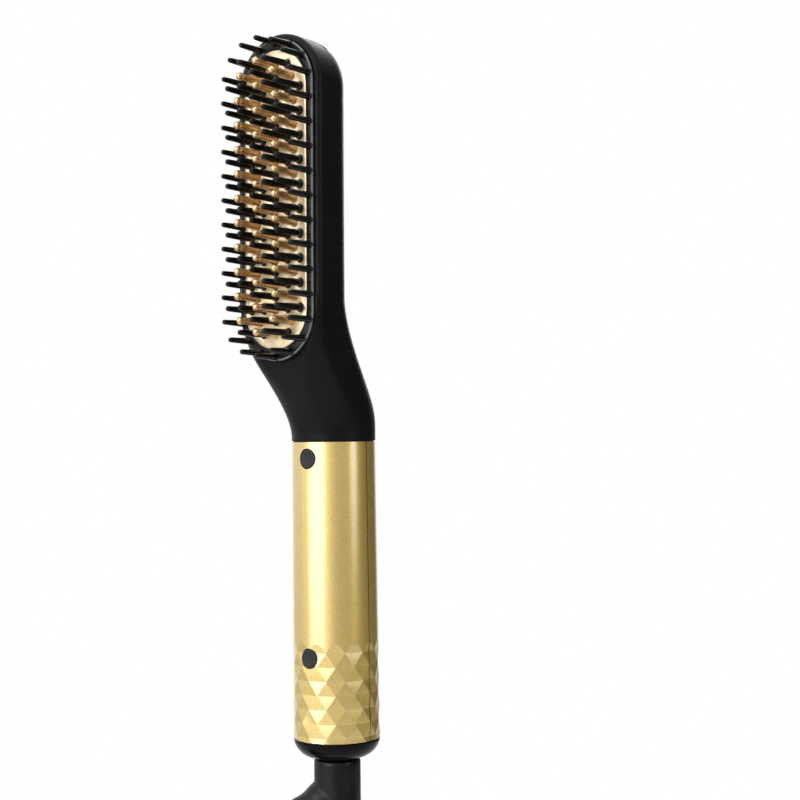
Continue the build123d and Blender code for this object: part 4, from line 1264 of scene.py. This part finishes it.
    def plate(self) -> None:
        """Build the hot plate with its teeth."""
        half = self.opening_half - self.plate_gap
        plate = Mould().oblong(half, self.opening_straight, -self.plate_depth, self.plate_depth, 96)
        plate.carve(Mould().add(Mould().rod(self.peg_hole, -5, 5, 20), self.peg_spots()))
        plate.round_edges(self.is_top, 0.15, 2)
        plate.add(self.tooth(), self.tooth_spots(), 1)
        plate.move(self.plane())
        plate.piece("toothed_plate", Body.COMB, [PLATE_GOLD, TOOTH_GOLD], 34, ["heating_plate"])

    def pad(self) -> None:
        """Build the pad under the plate and its pegs."""
        pad = Mould().oblong(self.frame_half, self.straight, self.pad_low, self.pad_depth, 96)
        collar = Mould().lathe([(0, -2.6), (1.56, -2.6), (1.56, 0.3), (1.45, 0.42), (0, 0.46)], 20)
        for mould in (self.bristle(self.peg_radii, self.peg_height), collar):
            pad.add(mould, self.peg_spots())
        pad.move(self.plane())
        pad.piece("peg_pad", Body.COMB, [BRISTLE_BLACK], 34, ["bristle_pad"])

    def build(self) -> None:
        """Build the brush side of the head."""
        self.frame()
        self.plate()
        self.pad()


@dataclass
class Smoothed:
    """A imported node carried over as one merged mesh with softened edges."""

    node: str
    name: str
    body: Body
    finish: Finish
    sharp: float = 28.0
    crease: float = 60.0
    soften: float = 0.16

    def build(self, nodes: dict[str, bpy.types.Object]) -> bpy.types.Object:
        """Merge a copy of the node and finish it.

        Args:
            nodes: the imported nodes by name.

        Returns:
            The piece.
        """
        mould = Mould()
        mould.mesh.from_mesh(nodes[self.node].data)
        bmesh.ops.scale(mould.mesh, vec=(1 / MM, 1 / MM, 1 / MM), verts=mould.mesh.verts)
        bmesh.ops.remove_doubles(mould.mesh, verts=mould.mesh.verts, dist=2e-3)
        crease = radians(self.crease)
        mould.round_edges(lambda edge: edge.calc_face_angle(0.0) > crease, self.soften, 2, False)
        return mould.piece(self.name, self.body, [self.finish], self.sharp, [self.node])


# ---------------------------------------------------------------- foot and cord


@dataclass
class Foot:
    """Gloss cap under the handle and the swivel with its side outlet."""

    cap_radius: float = 15.5
    cap_top: float = -53.0
    cap_foot: float = -60.0
    cap_curve: tuple[float, float, int] = (13.0, 8.9, 14)
    spigot: tuple[float, float, float] = (10.9, 12.7, -46.0)
    sleeve: tuple[float, float, float] = (4.6, 6.5, -48.0)
    web_z: float = -57.4
    swivel_top: float = -60.5
    swivel_radius: float = 8.4
    swivel_length: float = 24.5
    stem: Point = (4.5, 24.0)
    drop: float = 14.0
    reach: float = 16.0
    outlet: float = 5.5
    flare: tuple[Point, ...] = ((7.6, -2), (7.9, 4), (7.9, 6.5), (7.3, 8.3), (6.4, 10.0), (5.8, 11.8),
                                (5.55, 13.6))
    heading: float = 220.0
    dip: float = 22.0
    skin: float = 0.42
    smoothing: int = 8

    def cap(self) -> None:
        """Build the end cap."""
        waist, rim, steps = self.cap_curve
        curve = circle_through((self.cap_radius, self.cap_top - 1.0), (waist, self.cap_foot + 1.9),
                               (rim, self.cap_foot), steps)
        bore, wall, sleeve_top = self.sleeve
        inner, outer, spigot_top = self.spigot
        lip = self.cap_top - 0.02
        profile = [(self.cap_radius - 0.2, lip), (self.cap_radius, self.cap_top - 0.25), *curve,
                   (rim - 0.3, self.cap_foot), (bore, self.cap_foot), (bore, sleeve_top), (wall, sleeve_top),
                   (wall, self.web_z), (inner, self.web_z), (inner, spigot_top), (outer, spigot_top),
                   (outer, lip)]
        Mould().lathe(profile, 96, closed=True).piece("foot_cap", Body.COMB, [CAP_BLACK], 32, ["end_cap"])

    def outlet_frame(self) -> Matrix:
        """Place of the outlet's axis: Z along it, away from the swivel.

        Returns:
            The matrix.
        """
        turn, dip = radians(self.heading), radians(self.dip)
        out = Vector((cos(turn) * cos(dip), sin(turn) * cos(dip), -sin(dip)))
        level = Vector((-sin(turn), cos(turn), 0))
        return shift(z=self.swivel_top - self.drop) @ turned(level, out.cross(level), out)

    def swivel(self) -> None:
        """Build the swivel: a stub blended into its side outlet, with a stem inside the cap."""
        top, radius = self.swivel_top, self.swivel_radius
        bottom = top - self.swivel_length
        dome = circle_through((radius, bottom + 7.0), (6.3, bottom + 1.9), (0.0, bottom), 10)
        stub = Mould().lathe([(0, top), (radius - 0.5, top), (radius, top - 0.5), *dome], 64)
        end = [(self.outlet, self.reach - 0.4), (self.outlet - 0.4, self.reach), (0, self.reach)]
        flare = Mould().lathe([(0, self.flare[0][1]), *self.flare, *end], 48)
        stub.carve(flare.move(self.outlet_frame()), "UNION")
        stub.through("REMESH", mode="VOXEL", voxel_size=self.skin)
        for _ in range(self.smoothing):
            bmesh.ops.smooth_vert(stub.mesh, verts=stub.mesh.verts, factor=0.5,
                                  use_axis_x=True, use_axis_y=True, use_axis_z=True)
        stem, length = self.stem
        tip = [(stem, top + length - 0.3), (stem - 0.3, top + length), (0, top + length)]
        stub.add(Mould().lathe([(0, top - 1), (stem, top - 1), *tip], 40))
        stub.piece("cord_swivel", Body.SWIVEL, [SWIVEL_BLACK], 40, ["swivel_elbow"])

    def build(self) -> None:
        """Build the foot."""
        self.cap()
        self.swivel()


@dataclass
class Cord:
    """Mains cord: strain relief, hanging stretch, tied hank, plug."""

    foot: Foot
    radius: float = 2.5
    relief: tuple[float, float, float] = (30.0, 4.6, 3.4)
    relief_ribs: int = 6
    groove: tuple[Point, ...] = ((0.0, 0.9), (0.15, 0.65), (0.8, 0.5))
    route: tuple[Point, ...] = ((0.0, 0.0), (12.98, -5.24), (24.09, -16.75), (29.90, -32.72), (29.90, -48.71))
    hank_out: float = 7.8
    hank_half: float = 53.5
    sink: float = 0.3
    layer: float = 5.2
    tail: float = 14.0
    length: float = 1.6
    inner: tuple[Point, ...] = ((0, 46), (7.5, 44), (13, 38.5), (15, 30), (11.9, 20), (6.2, 11), (2.6, 3.5))
    outer: tuple[Point, ...] = ((0, 51.2), (9.9, 48.5), (17.0, 41.1), (19.6, 30.5), (16.6, 18), (11.0, 8.6),
                                (7.7, 2.2))
    band: tuple[Section, ...] = ((0, 12.35, 11.7, 3.6), (2.0, 12.4, 11.75, 3.6), (5.2, 12.5, 11.85, 3.6),
                                 (5.5, 12.0, 11.3, 3.4))
    plug_form: tuple[Section, ...] = (
        (0, 2.9, 2.9, 2.85), (0.4, 3.3, 3.3, 3.25), (3.0, 3.6, 3.6, 3.5), (5.5, 4.2, 4.0, 3.7),
        (7.6, 6.0, 4.8, 3.9), (9.0, 9.0, 6.2, 3.6), (10.2, 11.4, 7.6, 3.2), (12.0, 12.3, 8.3, 3.0),
        (16, 12.5, 8.5, 3.0), (24, 11.9, 8.1, 2.9), (33, 12.1, 8.2, 2.9), (37.6, 12.5, 8.5, 3.0),
        (38.6, 12.3, 8.3, 2.9), (39, 11.7, 7.7, 2.6))
    blade_form: tuple[Section, ...] = (
        (31, 0.74, 3.17, 0.2), (54.2, 0.74, 3.17, 0.2), (55.8, 0.6, 2.9, 0.2), (56.5, 0.35, 2.3, 0.2))
    blade_side: float = 6.35
    blade_hole: Point = (1.55, 50.9)

    def tip(self) -> Vector:
        """Where the cord leaves its strain relief."""
        return self.foot.outlet_frame() @ Vector((0, 0, self.foot.reach + self.relief[0]))

    def axes(self) -> tuple[Vector, Vector]:
        """Directions across the hank and away from the handle."""
        turn = radians(self.foot.heading)
        return Vector((-sin(turn), cos(turn), 0)), Vector((cos(turn), sin(turn), 0))

    def hank_middle(self) -> Vector:
        """Middle of the hank."""
        out, down = self.route[-1]
        return self.hung(out + self.hank_out, down + self.sink - self.hank_half)

    def hung(self, out: float, up: float) -> Vector:
        """Point out from the strain relief's tip and above it."""
        _, away = self.axes()
        return self.tip() + away * out + Vector((0, 0, up))

    def spot(self, across: float, up: float, layer: float) -> Vector:
        """Point of the hank from its middle, layer 0 being the one next to the handle."""
        side, away = self.axes()
        return self.hank_middle() + side * across + away * (layer - 1.5) * self.layer + Vector((0, 0, up))

    def turns(self) -> list[Vector]:
        """Control points of the hank's turns.

        Returns:
            The points, from the hank's top to the tail.
        """
        path = [self.spot(*place, 0) for place in ((0.0, 40.0), (-1.3, 24.0), (-2.6, 10.0), (-2.6, -3.5))]

        def down(half: Sequence[Point], layer: float) -> None:
            """Left side from the top to the bottom."""
            path.extend(self.spot(-x, z, layer) for x, z in half)
            path.extend(self.spot(-x, -z, layer) for x, z in half[:0:-1])

        def up(half: Sequence[Point], layer: float, shares: Sequence[float], step: int) -> None:
            """Right side from the bottom, moving step layers by the shares, as far as they last."""
            places = [(x, -z) for x, z in half] + [(x, z) for x, z in half[:0:-1]]
            path.extend(self.spot(x, z, layer + step * share) for (x, z), share in zip(places, shares))

        late = (0,) * 8 + (0.05, 0.35, 0.7, 0.95, 1.0)
        early = (0, 0, 0, 0, 0.05, 0.25, 0.5, 0.75, 0.95, 1, 1, 1, 1)
        path.extend(self.spot(-x, -z, 0) for x, z in self.inner[-2:0:-1])
        up(self.inner, 0, late, 1)
        for layer in (1, 2):
            down(self.inner, layer)
            up(self.inner, layer, late, 1)
        down(self.inner, 3)
        up(self.inner, 3, (0,) * 8, 0)
        outwards = ((8.0, 11), (16.3, 20), (20.0, 30.5), (17.5, 41.2), (10.1, 48.6))
        path.extend(self.spot(*place, 3) for place in outwards)
        for layer in (3, 2):
            down(self.outer, layer)
            up(self.outer, layer, early, -1)
        path.extend(self.spot(-x, z, 1) for x, z in self.outer)
        path.extend(self.spot(-x, -z, 1) for x, z in self.outer[:2:-1])
        leaving = ((-17.8, -40.5, 1), (-12.6, -47.6, 1.02), (-7.2, -52.3, 1.12), (-2.9, -57.2, 1.3),
                   (-0.6, -62.6, 1.45))
        path.extend(self.spot(*place) for place in leaving)
        path.append(self.spot(0, self.plug_z(), 1.5))
        return path

    def line(self) -> bpy.types.Object:
        """Build the cord itself, one smooth line from the relief to the plug.

        Returns:
            The cord.
        """
        hanging = [self.hung(*place) for place in self.route[:-1]]
        points = hanging + [self.spot(0, self.hank_half + 2.0, 0)] + self.turns()
        curve = bpy.data.curves.new("cord_line", "CURVE")
        curve.dimensions = "3D"
        spline = curve.splines.new("NURBS")
        spline.points.add(len(points) - 1)
        for control, point in zip(spline.points, points):
            control.co = (*(point * MM), 1.0)
        spline.order_u = 3
        spline.use_endpoint_u = True
        spline.resolution_u = 4
        curve.bevel_depth = self.radius * MM
        curve.bevel_resolution = 3
        curve.use_fill_caps = True
        curve.materials.append(material(CORD_BLACK))
        cord = put("mains_cord", curve)
        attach(cord, Body.SWIVEL.value)
        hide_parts("cord", "cord_hank", "cord_tail")
        return cord

    def sleeve(self) -> bpy.types.Object:
        """Build the ribbed strain relief.

        Returns:
            The piece.
        """
        length, root, tip = self.relief
        profile: list[Point] = [(0, 0), (root - 0.2, 0), (root, 0.3)]
        pitch = length / (self.relief_ribs + 1)
        for rib in range(1, self.relief_ribs + 1):
            wide = root + (tip - root) * rib / (self.relief_ribs + 1)
            profile += [(wide - deep, rib * pitch - half) for deep, half in self.groove]
            profile += [(wide - deep, rib * pitch + half) for deep, half in reversed(self.groove)]
        profile += [(tip, length - 0.5), (tip - 0.3, length), (0, length)]
        sleeve = Mould().lathe(profile, 40).move(self.foot.outlet_frame() @ shift(z=self.foot.reach))
        return sleeve.piece("cord_sleeve", Body.SWIVEL, [SWIVEL_BLACK], 40, ["strain_relief"])

    def tie(self) -> bpy.types.Object:
        """Build the band around the hank's waist. Its axes are left-handed, so it is mirrored.

        Returns:
            The piece.
        """
        lower = [(-z, *size) for z, *size in self.band[:0:-1]]
        band = Mould().loft([*lower, *self.band])
        band.carve(Mould().bar(-9, 9, 11.3, 10.65, 3.0, 48))
        side, away = self.axes()
        band.move(Matrix.Translation(self.hank_middle()) @ turned(side, away, Vector((0, 0, 1))))
        return band.piece("hank_band", Body.SWIVEL, [CORD_BLACK], 35, ["cord_tie"])

    def plug_z(self) -> float:
        """Height of the plug's top from the hank's middle."""
        return -self.hank_half + self.sink - self.tail

    def plug_frame(self) -> Matrix:
        """Place of the plug: X across the hank, Z down. It is left-handed, so it mirrors.

        Returns:
            The matrix.
        """
        side, away = self.axes()
        spot = Matrix.Translation(self.hank_middle() + Vector((0, 0, self.plug_z())))
        return spot @ turned(side, -away, Vector((0, 0, -1)))

    def plug(self) -> bpy.types.Object:
        """Build the moulded plug."""
        plug = Mould().loft(self.plug_form, 64).move(self.plug_frame())
        return plug.piece("mains_plug", Body.SWIVEL, [CORD_BLACK], 35, ["plug_body"])

    def blades(self) -> bpy.types.Object:
        """Build the plug's two flat blades.

        Returns:
            The piece.
        """
        radius, z = self.blade_hole
        hole = Mould().rod(radius, -9, 9, 24).move(shift(z=z) @ Matrix.Rotation(pi / 2, 4, "Y"))
        blade = Mould().loft(self.blade_form, 16).carve(hole)
        blades = Mould().add(blade, [shift(-self.blade_side), shift(self.blade_side)]).move(self.plug_frame())
        return blades.piece("plug_prongs", Body.SWIVEL, [BRASS], 30, ["plug_blades"])

    def build(self) -> None:
        cord = self.line()
        pieces = [self.sleeve(), self.tie(), self.plug(), self.blades()]
        tuple(self.tip() * MM)
        2 * self.radius * MM


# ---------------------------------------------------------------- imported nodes

DRESSES: tuple[tuple[Finish, str], ...] = (
    (BODY_BLACK, "head_shell"),
    (FRAME_BLACK, "bristle_frame"),
    (PLATE_GOLD, "heating_plate"),
    (BRISTLE_BLACK, "bristle_pad"),
    (CERAMIC, "heater_element"),
    (FILM, "heater_film"),
    (STEEL, "heater_clamp clamp_screws thermal_cutout"),
    (STEEL, "handle_screws slide_switch board_screws retaining_clip"),
    (WIRE, "heater_leads supply_leads"),
    (GOLD, "handle_front_shell handle_back_shell"),
    (PLUG_GREY, "screw_plugs"),
    (BUTTON_BLACK, "switch_button"),
    (CHIP, "neck_collar switch_lever control_chip contact_carrier"),
    (BOARD, "circuit_board"),
    (YELLOW, "power_capacitor"),
    (BLUE, "power_relay"),
    (DIODE, "indicator_led"),
    (LENS, "lamp_lens"),
    (CAP_BLACK, "end_cap"),
    (SWIVEL_BLACK, "swivel_elbow strain_relief"),
    (COPPER, "slip_rings"),
    (CARBON, "contact_brushes"),
    (CORD_BLACK, "cord cord_hank cord_tie cord_tail plug_body"),
    (BRASS, "plug_blades"),
)


def dress_nodes(nodes: dict[str, bpy.types.Object]) -> None:
    """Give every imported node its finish.

    Args:
        nodes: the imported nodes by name.
    """
    finishes = {name: finish for finish, names in DRESSES for name in names.split()}
    for name, node in nodes.items():
        for slot in node.material_slots:
            slot.material = material(finishes[name])
        log.info("dressed %s", name)


def main() -> None:
    """Build the scene."""
    logging.basicConfig(level=logging.INFO, format="%(name)s: %(message)s")
    for leftover in list(bpy.data.objects):
        bpy.data.objects.remove(leftover)
    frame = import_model()
    Studio().build()
    dress_nodes(frame["nodes"])
    Handle().build()
    Switch().build()
    Smoothed("head_shell", "head_moulding", Body.COMB, BODY_BLACK).build(frame["nodes"])
    Head().build()
    foot = Foot()
    foot.build()
    Cord(foot).build()
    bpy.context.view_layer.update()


if __name__ == "__main__":
    main()
